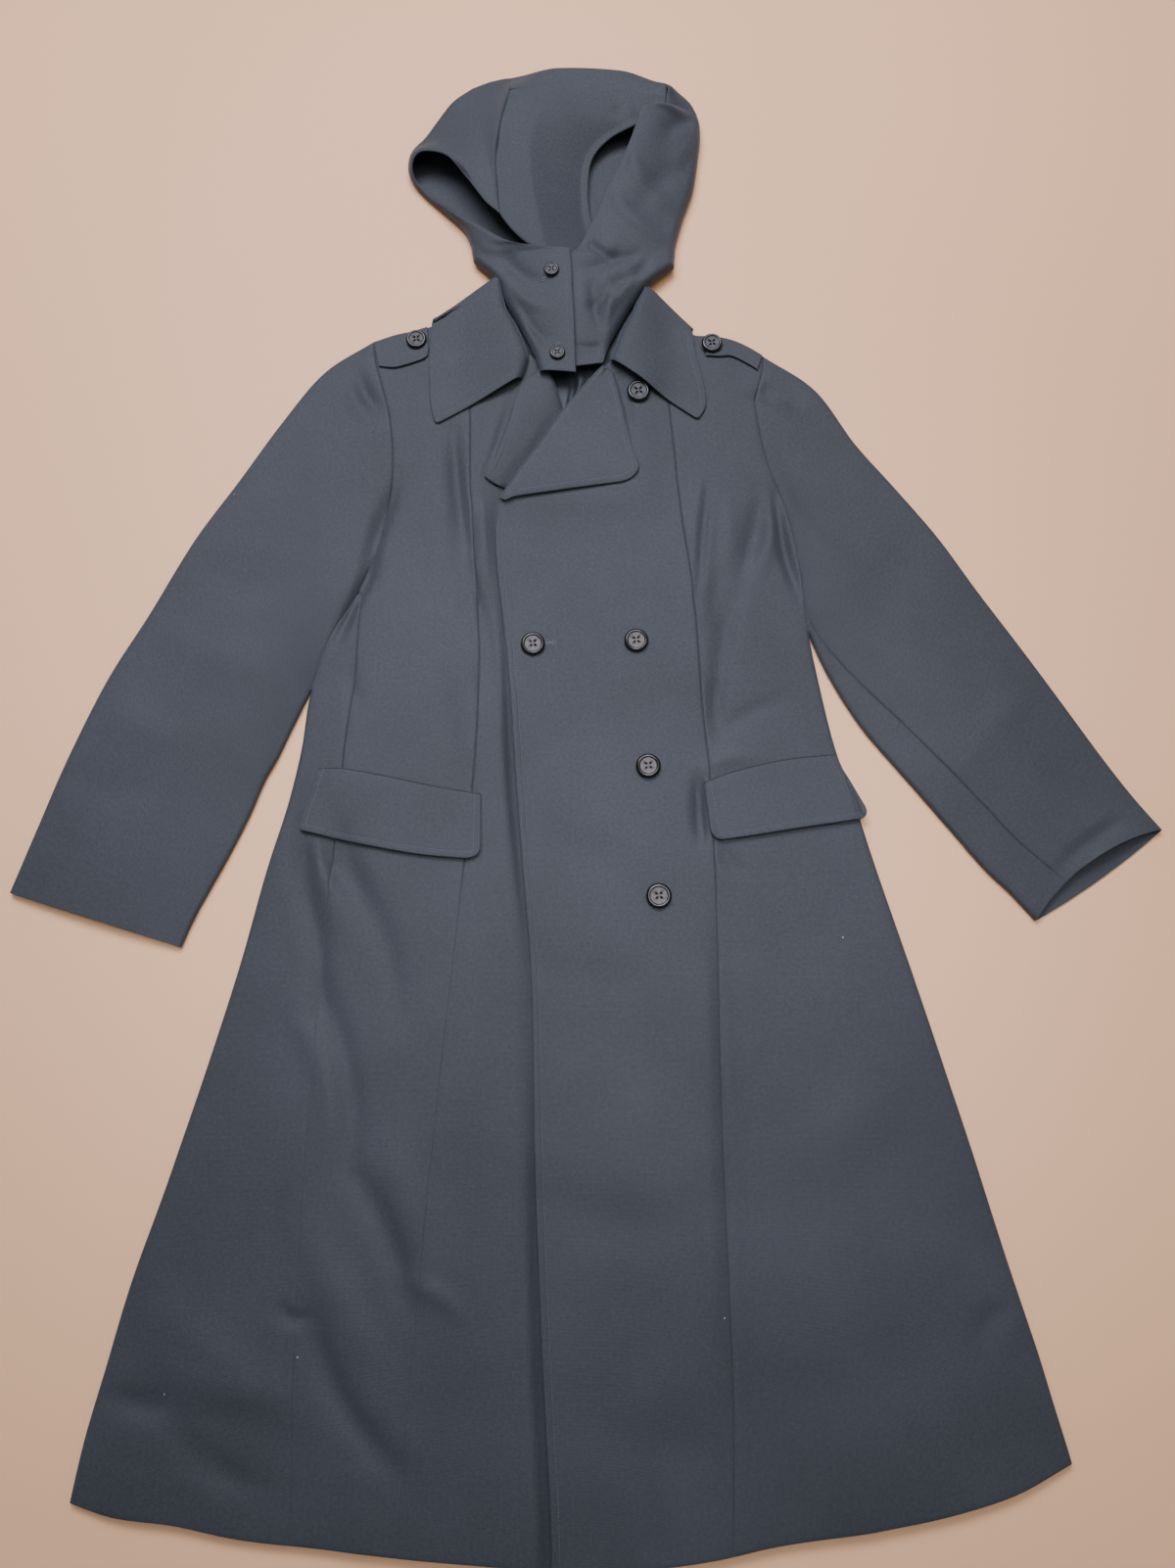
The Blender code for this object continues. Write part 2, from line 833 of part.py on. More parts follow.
def sleeve_grid(rows, edge, fork, columns, height, lift, end_bow):
    """Rows across a sleeve from its armhole to its cuff.

    A column is a share of the width, or a function of the section, or a distance from the
    outer fold or from the inner one.
    """
    known, levels = sleeve_shares(edge, fork)
    side = np.sign(rows["outer_x"][0])
    last = len(rows["bow"]) - 1
    grid = []
    for section in range(last + 1):

        def point(share):
            if section == 0:
                return armhole_point(edge, side, known, levels, share)
            return sleeve_point(rows, section, share)

        u = []
        for kind, value in columns:
            if kind == "share":
                u.append(value(section) if callable(value) else value)
            else:
                u.append(share_at_fold(point, value, 0.0 if kind == "outer" else 1.0))
        u = np.array(u)
        x, y = point(u)
        if section == last and end_bow:
            ix, iy = rows["inner_x"][last], rows["inner_y"][last]
            ox, oy = rows["outer_x"][last], rows["outer_y"][last]
            bow = end_bow * np.sin(np.pi * np.clip(u, 0, 1)) ** 0.8 / math.hypot(ix - ox, iy - oy)
            x = x + bow * (iy - oy)
            y = y - bow * (ix - ox)
        z = height(x, y) + lift * (1 - rounding(fold_distance(x, y)))
        on_fold = (u <= 0) | (u >= 1)
        z = np.where(on_fold, back_lift(x, y) + FOLD_RADIUS + lift, z)
        grid.append(stack(x, y, z))
    return grid


def sleeve_columns(known, seam, part):
    """Columns across a sleeve. `seam` gives the share at which a seam runs, by section."""
    fold_out = [("outer", d) for d in roll_steps()]
    fold_in = [("inner", d) for d in reversed(roll_steps())]
    inside = [s for s in known if 0.03 < s < 0.965]
    if part == "whole":
        return fold_out + [("share", s) for s in inside] + fold_in
    if part == "inner":
        half_gap = SEAM / 300
        edge = [("share", lambda k: seam(k) + half_gap), ("share", lambda k: 0.5 * (1 + seam(k)))]
        return edge + fold_in
    at_head = seam(0)
    kept = [("share", lambda k, s=s: s * seam(k) / at_head) for s in inside if s < at_head - 0.02]
    return fold_out + kept + [("share", lambda k: seam(k) - SEAM / 300)]


def sleeve_left():
    known, _ = sleeve_shares("edge_l", FORK_LEFT)
    columns = sleeve_columns(known, None, "whole")
    args = (SLEEVE_LEFT, "edge_l", FORK_LEFT, columns)
    above = sleeve_grid(*args, top_side, SLEEVE_FOLD_GAP, 0)
    below = sleeve_grid(*args, floor_side, -SLEEVE_FOLD_GAP, 0)
    sheet("sleeve_left_upper", [above], CLOTH, twill())
    sheet("sleeve_left_under", [below], CLOTH, twill(), False)


def sleeve_right():
    """The seam shows on top, so the under sleeve turns round the inner fold to meet it."""
    known, _ = sleeve_shares("edge_r", FORK_RIGHT)
    last = len(SLEEVE_RIGHT["bow"]) - 1
    place = (SLEEVE_RIGHT, "edge_r", FORK_RIGHT)

    def seam(k):
        return SLEEVE_SEAM_AT_HEAD + (SLEEVE_SEAM_AT_CUFF - SLEEVE_SEAM_AT_HEAD) * k / last

    outer = sleeve_columns(known, seam, "outer")
    inner = sleeve_columns(known, seam, "inner")
    whole = sleeve_columns(known, None, "whole")
    top = sleeve_grid(*place, outer, top_side, SLEEVE_FOLD_GAP, CUFF_DRAWN_BACK)
    sheet("sleeve_right_upper", [top], CLOTH, twill())
    strip = sleeve_grid(*place, inner, top_side, 0.0, CUFF_DRAWN_BACK)
    below = sleeve_grid(*place, whole, floor_side, 0.0, -CUFF_REACH)
    parting = SLEEVE_FOLD_GAP * np.array([1.0, 0.7, 0.2])
    for row in below:
        row[:3, 2] -= parting
    sheet("sleeve_right_under", [below, strip], CLOTH, twill(), False)


def collar_bulge(x, y):
    distance = np.hypot(x - COLLAR_BULGE_X, y - COLLAR_BULGE_Y)
    return COLLAR_BULGE * np.exp(-((distance / COLLAR_BULGE_REACH) ** 2))


def collar():
    """One piece round the neck: it lies on both fronts and passes under the back."""
    rows = COLLAR
    count = len(rows["side"])
    shares = [0, 0.03, 0.12, 0.3, 0.5, 0.7, 0.86, 1]
    grid = []
    for k in range(count):
        u = np.array(shares)
        x = rows["inner_x"][k] + (rows["outer_x"][k] - rows["inner_x"][k]) * u
        y = rows["inner_y"][k] + (rows["outer_y"][k] - rows["inner_y"][k]) * u
        side = rows["side"][k]
        if side > 0:
            lift = collar_bulge(x, y)
            roll = COLLAR_ROLL * (1 - ramp(u, 0, 0.75)) * rounding(u, 0.12)
            surface = upper_front if x[0] > 0 else top_side
            z = surface(x, y) + COLLAR_FALL + roll + lift
            grid.append(stack(x, y, z))
        elif side < 0:
            grid.append(stack(x, y, 0 * x))
        else:
            z_top = top_side(x, y - 8) + COLLAR_FALL + COLLAR_ROLL * (1 - ramp(u, 0, 0.75)) * 0.5
            half = z_top / 2
            along_fold = np.array([x[-1] - x[0], y[-1] - y[0]])
            along_fold = along_fold / np.hypot(*along_fold)
            out = np.array([-along_fold[1], along_fold[0]])
            if out[1] < 0:
                out = -out
            turn = (90, 55, 20, -20, -55, -90)
            if rows["side"][k - 1] < 0:
                turn = turn[::-1]
            for angle in turn:
                a = math.radians(angle)
                reach = COLLAR_TURN * math.cos(a)
                grid.append(stack(x + out[0] * reach, y + out[1] * reach, half + half * math.sin(a)))
    sheet("collar", [grid], DOUBLE, twill())


def lapel(name, rows, roll_line, surface, off):
    """A front turned back on itself along its roll line, lying on the front."""
    grid = []
    for level, ox, oy in zip(rows["level"], rows["outer_x"], rows["outer_y"]):
        rx = float(body_x(roll_line, level))
        ry = float(body_y(rx, level))
        slope = float(body_x(roll_line, level + 4) - body_x(roll_line, level - 4)) / 8
        square = np.array([1.0, -slope]) / math.hypot(1, slope)
        square = square * np.sign(square[0] * (ox - rx) + square[1] * (oy - ry))
        out, up, share = LAPEL_ROLL.values()
        rest = surface(rx + square[0] * np.maximum(out, 1), ry + square[1] * np.maximum(out, 1))
        roll = stack(rx + square[0] * out, ry + square[1] * out, rest + up + share * off)
        s = np.array([0.3, 0.5, 0.7, 0.86, 1])
        x, y = rx + (ox - rx) * s, ry + (oy - ry) * s
        fall = stack(x, y, surface(x, y) + off + DOUBLE + LAPEL_SWELL * (1 - s))
        grid.append(np.concatenate([roll, fall]))
    sheet(name, [grid], DOUBLE, twill())


def flap(name, rows, surface):
    """A pocket flap: sewn down along its top edge, its free edge standing off a little."""
    count = len(rows["top_x"]) - 1
    run = math.hypot(rows["low_x"][-1] - rows["low_x"][0], rows["low_y"][-1] - rows["low_y"][0])
    ends = [0, 0.3, 1.0]
    stations = [d * FLAP_CORNER / run for d in ends] + [0.22, 0.36, 0.5, 0.64, 0.78]
    stations += [1 - d * FLAP_CORNER / run for d in reversed(ends)]
    grid = []
    for s in stations:
        top_x, top_y, low_x, low_y = (
            float(row_value(rows, column, s * count)) for column in ("top_x", "top_y", "low_x", "low_y")
        )
        near = min(s, 1 - s) * run
        cut = FLAP_CORNER * (1 - float(rounding(near, FLAP_CORNER)))
        depth = math.hypot(low_x - top_x, low_y - top_y)
        reach = 1 - cut / depth
        u = np.array([0, 0.12, 0.45, 0.8, 1.0])
        x = top_x + (low_x - top_x) * u * reach
        y = top_y + (low_y - top_y) * u * reach
        off = 0.4 + DOUBLE + FLAP_LIFT * u**2 + 0.7 * ramp(u, 0, 0.12)
        grid.append(stack(x, y, surface(x, y) + off))
    sheet(name, [grid], DOUBLE, twill())


def strap(name, rows):
    """A shoulder strap, sewn in at the armhole and buttoned near the collar."""
    count = len(rows["upper_x"]) - 1
    grid = []
    for s in np.linspace(0, count, 7):
        ux, uy, lx, ly = (
            float(row_value(rows, column, s)) for column in ("upper_x", "upper_y", "lower_x", "lower_y")
        )
        u = np.array([0.08, 0.12, 0.2, 0.4, 0.7, 1.0])
        x, y = ux + (lx - ux) * u, uy + (ly - uy) * u
        grid.append(laid_on(top_side, x, y, 0.7 + DOUBLE))
    sheet(name, [grid], DOUBLE, twill())


def hood_fold_centre(y):
    """Height of the middle of the hood's folded outline: it climbs where the hood enters the neck."""
    return HOOD_FOLD_HEIGHT + 5.0 * ramp(y, 560, 505) + 9.0 * ramp(y, 455, 400)


def hood_floor(y):
    """The hood lies on the floor, but for its neck, which lies on the back's lining."""
    return HOOD_NECK_REST * ramp(y, 548, 518)


def hood_floor_seam(side, y):
    return along(y, HOOD_FLOOR_SEAMS["y"], HOOD_FLOOR_SEAMS[side])


def hood_top(rows, k, share):
    """A point of a hood side panel's top, `share` of the way from its fold to its free edge."""
    fx, fy, ex, ey, ez, belly = (
        float(row_value(rows, column, k))
        for column in ("fold_x", "fold_y", "free_x", "free_y", "free_z", "belly")
    )
    length = math.hypot(ex - fx, ey - fy)
    radius = min(HOOD_FOLD_HEIGHT, length * 0.45)
    centre = hood_fold_centre(fy)
    crest = min(centre + radius + 2, max(ez, centre + 1))
    target = crest + (ez - crest) * ramp(share, 0, 1) + belly * 4 * share * (1 - share)
    z = centre + (target - centre) * rounding(share * length, radius)
    return stack(fx + (ex - fx) * share, fy + (ey - fy) * share, z)


def hood_below(rows, k, side, share):
    """A point of its floor side, `share` of the way from its fold to its seam."""
    fx, fy, uy = (float(row_value(rows, column, k)) for column in ("fold_x", "fold_y", "floor_y"))
    ux = float(hood_floor_seam(side, uy))
    length = math.hypot(ux - fx, uy - fy)
    curl = 1 - rounding(share * length, min(HOOD_FOLD_HEIGHT, 0.6 * length))
    y = fy + (uy - fy) * share
    z = hood_floor(y) + (hood_fold_centre(fy) - hood_floor(y)) * curl
    return stack(fx + (ux - fx) * share, y, z)


def hood_side(name, rows, side, first_floor_row):
    """A side panel of the hood: from its free edge, round the outline, to its seam on the floor."""
    turned = roll_steps(HOOD_FOLD_HEIGHT)
    away = (-0.5 if side == "left" else 0.5) * SEAM_HOOD
    top, below = [], []
    for k in range(len(rows["fold_x"])):
        fx, fy = rows["fold_x"][k], rows["fold_y"][k]
        length = math.hypot(rows["free_x"][k] - fx, rows["free_y"][k] - fy)
        steps = [min(d / length, f) for d, f in zip(turned, (0, 0.1, 0.25, 0.45))]
        share = np.array(steps + [steps[-1] + (1 - steps[-1]) * s for s in (0.25, 0.5, 0.75, 1)])
        row = hood_top(rows, k, share)
        row[-1][0] += away
        top.append(row)
        if k >= first_floor_row:
            uy = rows["floor_y"][k]
            length = math.hypot(float(hood_floor_seam(side, uy)) - fx, uy - fy)
            radius = min(HOOD_FOLD_HEIGHT, 0.6 * length)
            d = np.array(roll_steps(radius) + [radius + (length - radius) * s for s in (0.5, 1)])
            row = hood_below(rows, k, side, d / length)
            row[-1][0] += away
            below.append(row)
    sheet(name, [top, below], CLOTH, twill())


def hood_hollow(share):
    """How the crown sinks across its width: a ridge on the left that falls off to the right."""
    return ramp(share, 0.36, 0.66) * ramp(share, 1, 0.7)


def hood_turn(left, right, middle, shares):
    """A row of the centre panel just inside points of its neighbours, `middle` high half way."""
    rise = (middle - (left[2] + right[2]) / 2) * ramp(shares, 0, 0.3) * ramp(shares, 1, 0.7)
    x, y, z = (a + (b - a) * shares for a, b in zip(left, right))
    x = x + HOOD_TURN_GAP_LEFT * (1 - shares) - HOOD_TURN_GAP_RIGHT * shares
    return stack(x, y + HOOD_CROWN_BOW * 4 * shares * (1 - shares), z + rise)


def hood_centre():
    """The middle strip of the hood: its face edge, the crown, the turn and the floor side."""
    shares = np.array([0, 0.2, 0.38, 0.5, 0.64, 0.82, 1])
    inwards = SEAM_HOOD * (0.5 - shares)
    last_left, last_right = len(HOOD_LEFT["fold_x"]) - 1, len(HOOD_RIGHT["fold_x"]) - 1
    grid = []
    for lx, ly, rx, ry, bow, lz, rz, hollow in zip(*HOOD_CROWN.values()):
        y = ly + (ry - ly) * shares + bow * 4 * shares * (1 - shares)
        z = lz + (rz - lz) * shares - hollow * hood_hollow(shares)
        grid.append(stack(lx + (rx - lx) * shares + inwards, y, z))
    for share in (0.6, 0.35, 0.19, 0.09, 0.02):
        left = hood_top(HOOD_LEFT, last_left, share)
        right = hood_top(HOOD_RIGHT, last_right, share)
        middle = HOOD_FOLD_HEIGHT + (HOOD_CROWN_HIGH - HOOD_FOLD_HEIGHT) * rounding(share, 0.43)
        grid.append(hood_turn(left, right, middle, shares))
    for share in (0.08, 0.3, 0.6, 1):
        left = hood_below(HOOD_LEFT, last_left, "left", share)
        right = hood_below(HOOD_RIGHT, last_right, "right", share)
        grid.append(hood_turn(left, right, (left[2] + right[2]) / 2, shares))
    for y in HOOD_FLOOR_ROWS:
        left, right = float(hood_floor_seam("left", y)), float(hood_floor_seam("right", y))
        grid.append(stack(left + (right - left) * shares + inwards, y, float(hood_floor(y))))
    sheet("hood_centre", [grid], CLOTH, twill())


def neck_lining():
    rows = NECK_LINING
    count = len(rows["left_x"]) - 1
    grid = []
    for s in np.linspace(0, count, 6):
        lx, ly, rx, ry = (float(row_value(rows, column, s)) for column in rows)
        u = np.linspace(0, 1, 7)
        x, y = lx + (rx - lx) * u, ly + (ry - ly) * u
        grid.append(stack(x, y, floor_side(x, y) + CLOTH + 0.8 + LINING))
    sheet("neck_lining", [grid], LINING, satin())


def button(name, across_mm, x, y, z, tilt=(0.0, 0.0)):
    """A four-hole button with a raised rim, turned from a profile and drilled."""
    r = across_mm / 2
    thick = 0.15 * across_mm
    steps = 20 if across_mm > 20 else 16
    profile = [
        (0.0, thick * 0.72),
        (r * 0.62, thick * 0.72),
        (r * 0.74, thick * 1.0),
        (r * 0.92, thick * 0.98),
        (r, thick * 0.62),
        (r * 0.9, thick * 0.15),
        (r * 0.7, 0.0),
        (0.0, 0.0),
    ]
    mesh = bpy.data.meshes.new(name)
    points = [(a * 0.001, 0, b * 0.001) for a, b in profile]
    mesh.from_pydata(points, [(i, i + 1) for i in range(len(points) - 1)], [])
    item = bpy.data.objects.new(name, mesh)
    bpy.data.collections[COLLECTION].objects.link(item)
    turned = item.modifiers.new("turned", "SCREW")
    turned.steps = turned.render_steps = steps
    turned.use_merge_vertices = True
    turned.merge_threshold = 1e-5
    turned.use_smooth_shade = True
    item.location = (np.array([x, y, z]) - MIDDLE) * 0.001
    item.rotation_euler = (tilt[0], tilt[1], 0.3)
    drill = bmesh.new()
    hole, spread = across_mm * 0.04, across_mm * 0.085
    for dx in (-spread, spread):
        for dy in (-spread, spread):
            made = bmesh.ops.create_cone(
                drill, cap_ends=True, segments=6, radius1=hole * 0.001, radius2=hole * 0.001, depth=0.02
            )
            bmesh.ops.translate(drill, vec=(dx * 0.001, dy * 0.001, 0), verts=made["verts"])
    cutter_mesh = bpy.data.meshes.new(name + "_holes")
    drill.to_mesh(cutter_mesh)
    drill.free()
    cutter = bpy.data.objects.new(name + "_holes", cutter_mesh)
    bpy.data.collections["cutters"].objects.link(cutter)
    cutter.location, cutter.rotation_euler = item.location, item.rotation_euler
    cutter.hide_render = True
    cutter.display_type = "WIRE"
    drilled = item.modifiers.new("holes", "BOOLEAN")
    drilled.operation = "DIFFERENCE"
    drilled.object = cutter
    item.data.materials.append(button_black())
    return item


def hood_button_rest(x, y):
    """The highest point of the hood's chin part beneath a button."""
    high = 0.0
    for angle in np.linspace(0, 2 * math.pi, 9):
        px, py = x + 0.35 * HOOD_BUTTON * math.cos(angle), y + 0.35 * HOOD_BUTTON * math.sin(angle)
        k = float(along(py, HOOD_LEFT["free_y"][:6], np.arange(6.0)))
        fold, free = (float(row_value(HOOD_LEFT, column, k)) for column in ("fold_x", "free_x"))
        high = max(high, float(hood_top(HOOD_LEFT, k, np.array([(px - fold) / (free - fold)]))[0][2]))
    return high


def buttons():
    for k, (x, y) in enumerate(zip(MAIN_BUTTONS["x"], MAIN_BUTTONS["y"])):
        base = float(upper_front(np.array(x), np.array(y)))
        button(f"button_main_{k + 1}", MAIN_BUTTON, x, y, base + 0.8)
    for name, x, y in zip(("left", "right"), STRAP_BUTTONS["x"], STRAP_BUTTONS["y"]):
        base = float(top_side(np.array(x), np.array(y)))
        button(f"button_strap_{name}", STRAP_BUTTON, x, y, base + DOUBLE + 1.6)
    for name, x, y in zip(("upper", "lower"), HOOD_BUTTONS["x"], HOOD_BUTTONS["y"]):
        button(f"button_hood_{name}", HOOD_BUTTON, x, y, hood_button_rest(x, y) + 0.5)


def main():
    clear_scene()
    back_panels()
    side_back_left()
    side_back_right()
    side_front_left()
    side_front_right()
    front_left()
    front_right()
    sleeve_left()
    sleeve_right()
    neck_lining()
    lapel("lapel_left", LAPEL_LEFT, "hidden_edge", under_front, 2.2)
    lapel("lapel_right", LAPEL_RIGHT, "front_edge", upper_front, 1.2)
    collar()
    flap("pocket_flap_left", FLAP_LEFT, top_side)
    flap("pocket_flap_right", FLAP_RIGHT, top_side)
    strap("shoulder_strap_left", STRAP_LEFT)
    strap("shoulder_strap_right", STRAP_RIGHT)
    hood_side("hood_left", HOOD_LEFT, "left", 4)
    hood_side("hood_right", HOOD_RIGHT, "right", 4)
    hood_centre()
    buttons()


main()
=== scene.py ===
# %% [markdown]
# # A military coat with a buttoned-on hood, laid flat
# The coat lies on its back on the floor with its front up, its sleeves spread and its hood up.
# Nearly all of it is one cloth, so the work is in three things: how the cloth lies, how it is
# sewn, and what its surface does with the light. Left and right are the viewer's.

import json
import math

import bmesh
import bpy
import numpy as np
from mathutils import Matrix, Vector
from mathutils.bvhtree import BVHTree

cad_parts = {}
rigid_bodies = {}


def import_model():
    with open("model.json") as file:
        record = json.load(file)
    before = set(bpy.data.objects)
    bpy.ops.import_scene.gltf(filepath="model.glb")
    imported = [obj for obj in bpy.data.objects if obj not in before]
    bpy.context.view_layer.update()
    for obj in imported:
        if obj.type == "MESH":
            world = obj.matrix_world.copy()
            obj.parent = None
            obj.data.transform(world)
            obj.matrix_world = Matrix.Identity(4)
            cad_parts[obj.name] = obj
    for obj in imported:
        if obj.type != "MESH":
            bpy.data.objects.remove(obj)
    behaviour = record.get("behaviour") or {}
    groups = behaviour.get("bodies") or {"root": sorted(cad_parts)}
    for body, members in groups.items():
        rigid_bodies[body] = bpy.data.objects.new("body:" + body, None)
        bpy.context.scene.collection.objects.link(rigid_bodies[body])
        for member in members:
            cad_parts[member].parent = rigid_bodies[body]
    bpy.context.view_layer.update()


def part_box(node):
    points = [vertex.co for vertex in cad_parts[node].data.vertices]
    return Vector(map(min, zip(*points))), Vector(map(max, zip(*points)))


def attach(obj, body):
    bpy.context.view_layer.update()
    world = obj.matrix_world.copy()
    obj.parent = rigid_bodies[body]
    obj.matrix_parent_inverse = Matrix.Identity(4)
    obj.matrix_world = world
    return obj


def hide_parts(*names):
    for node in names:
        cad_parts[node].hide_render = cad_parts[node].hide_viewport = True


for item in list(bpy.data.objects):
    bpy.data.objects.remove(item)
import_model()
MM = 0.001
MIDDLE = np.array([2.0, 5.636, 0.0])

# %% [markdown]
# ## The camera
# The photograph was taken from a little below the coat's middle, by someone who leaned over it.
# A lens is the distance from the film in the same unit as the film's height, so the focal
# length in pixels gives the one in millimetres. The tilt says how far it looks up the coat.

# %% Camera
IMAGE_TALL = 1601.0
FOCAL_PIXELS = 1203.0
FILM = 36.0
CAMERA_TILT = 12.9
CAMERA_PLACE = (-0.002, -0.33977, 1.17946)


def new_object(name, data):
    item = bpy.data.objects.new(name, data)
    bpy.context.scene.collection.objects.link(item)
    return item


camera_data = bpy.data.cameras.new("camera")
camera_data.sensor_fit = "VERTICAL"
camera_data.sensor_height = FILM
camera_data.lens = FILM * FOCAL_PIXELS / IMAGE_TALL
camera = new_object("camera", camera_data)
camera.location = CAMERA_PLACE
camera.rotation_euler = (math.radians(CAMERA_TILT), 0, 0)
bpy.context.scene.camera = camera
print("lens", round(camera_data.lens, 2), "mm")

# %% [markdown]
# ## Colours and shader nodes
# Colours are noted as on a paint card, in sRGB hex, and a shader wants linear values. One small
# function adds a node with its settings and its links, which keeps each material short.

# %% Colour and node helpers
def linear(hex_colour):
    """An sRGB colour as the linear values that a shader takes."""
    parts = [int(hex_colour[i : i + 2], 16) / 255 for i in (0, 2, 4)]
    return [c / 12.92 if c <= 0.04045 else ((c + 0.055) / 1.055) ** 2.4 for c in parts] + [1.0]


def add(tree, kind, inputs=None, **settings):
    """A new node: `settings` are its options, and `inputs` are values or the sockets to link."""
    node = tree.nodes.new(kind)
    for name, value in settings.items():
        setattr(node, name, value)
    for name, value in (inputs or {}).items():
        if isinstance(value, bpy.types.NodeSocket):
            tree.links.new(value, node.inputs[name])
        else:
            node.inputs[name].default_value = value
    return node


def new_material(name):
    made = bpy.data.materials.new(name)
    made.use_nodes = True
    made.node_tree.nodes.clear()
    return made, made.node_tree


print("sRGB grey 808080 is", round(linear("808080")[0], 3), "in linear light")

# %% [markdown]
# ## The floor and the light
# A plain pale floor, and cool light as from a window beyond the hood: cloth glances it towards
# the camera, so the chest is brighter than the hem, and the sleeves' shadows fall down the coat.
# A warmer lamp fills in from the room, and a narrow one on the ceiling lifts the middle a little.

# %% Floor and light
FLOOR_DROP = 0.0004
ROOM_STRENGTH = 0.42
floor_paint, tree = new_material("pale_floor")
grain = add(tree, "ShaderNodeTexNoise", {"Scale": 3.0, "Detail": 3.0}).outputs["Fac"]
tone = add(tree, "ShaderNodeMix", {"Factor": grain, "A": linear("d7a57b"), "B": linear("e0b48c")},
           data_type="RGBA").outputs["Result"]
painted = add(tree, "ShaderNodeBsdfPrincipled", {"Base Color": tone, "Roughness": 0.6})
add(tree, "ShaderNodeOutputMaterial", {"Surface": painted.outputs["BSDF"]})
bpy.ops.mesh.primitive_plane_add(size=8.0, location=(0, 0, -FLOOR_DROP))
floor = bpy.context.object
floor.name = "floor"
floor.data.materials.append(floor_paint)

LAMPS = {
    # name: place, aimed at, width, height, watts, spread in degrees, colour
    "window_light": ((-0.35, 1.4, 1.95), (0.0, 0.2, 0.0), 1.8, 1.0, 56.0, 140, "f1f0ff"),
    "room_light": ((0.6, 0.5, 2.4), (0.0, 0.1, 0.0), 1.6, 1.6, 12.0, 140, "fff4ea"),
    "ceiling_light": ((0.1, -0.05, 2.3), (0.0, -0.22, 0.0), 0.7, 0.5, 1.5, 34, "f4f4ff"),
}
for name, (place, target, width, height, watts, spread, colour) in LAMPS.items():
    lamp_data = bpy.data.lights.new(name, "AREA")
    lamp_data.shape = "RECTANGLE"
    lamp_data.size, lamp_data.size_y = width, height
    lamp_data.energy = watts
    lamp_data.spread = math.radians(spread)
    lamp_data.color = linear(colour)[:3]
    lamp = new_object(name, lamp_data)
    lamp.location = place
    lamp.rotation_euler = (Vector(target) - Vector(place)).to_track_quat("-Z", "Y").to_euler()
world = bpy.data.worlds.new("room")
bpy.context.scene.world = world
world.use_nodes = True
world.node_tree.nodes["Background"].inputs["Color"].default_value = linear("e4e8ee")
world.node_tree.nodes["Background"].inputs["Strength"].default_value = ROOM_STRENGTH
print(len(LAMPS), "lamps")

# %% [markdown]
# ## Cloth: a wool-blend twill
# The coat is a fine worsted twill: diagonal ribs under a millimetre apart, pressed flat, with
# short fibres that give a faint pale sheen at a grazing angle. Sheen belongs to the shader. The
# ribs follow the cut of each piece, so they are drawn on its own UV map, which is in metres.
# A rib of the real spacing is finer than a pixel, so it is drawn twice as coarse.

# %% Twill material
TWILL_RIB = 0.0016
TWILL_ANGLE = math.radians(58)
WEFT = 0.0011
FIBRE = 0.0009
MOTTLE = 0.0016
LINT_APART = 0.032
LINT_SIZE = 0.022
WAVE_PERIOD = 2 * math.pi / 20


def weighted(tree, parts):
    """The sum of some outputs, each times its weight."""
    total = 0.0
    for socket, weight in parts:
        inputs = {0: socket, 1: weight, 2: total}
        total = add(tree, "ShaderNodeMath", inputs, operation="MULTIPLY_ADD").outputs[0]
    return total


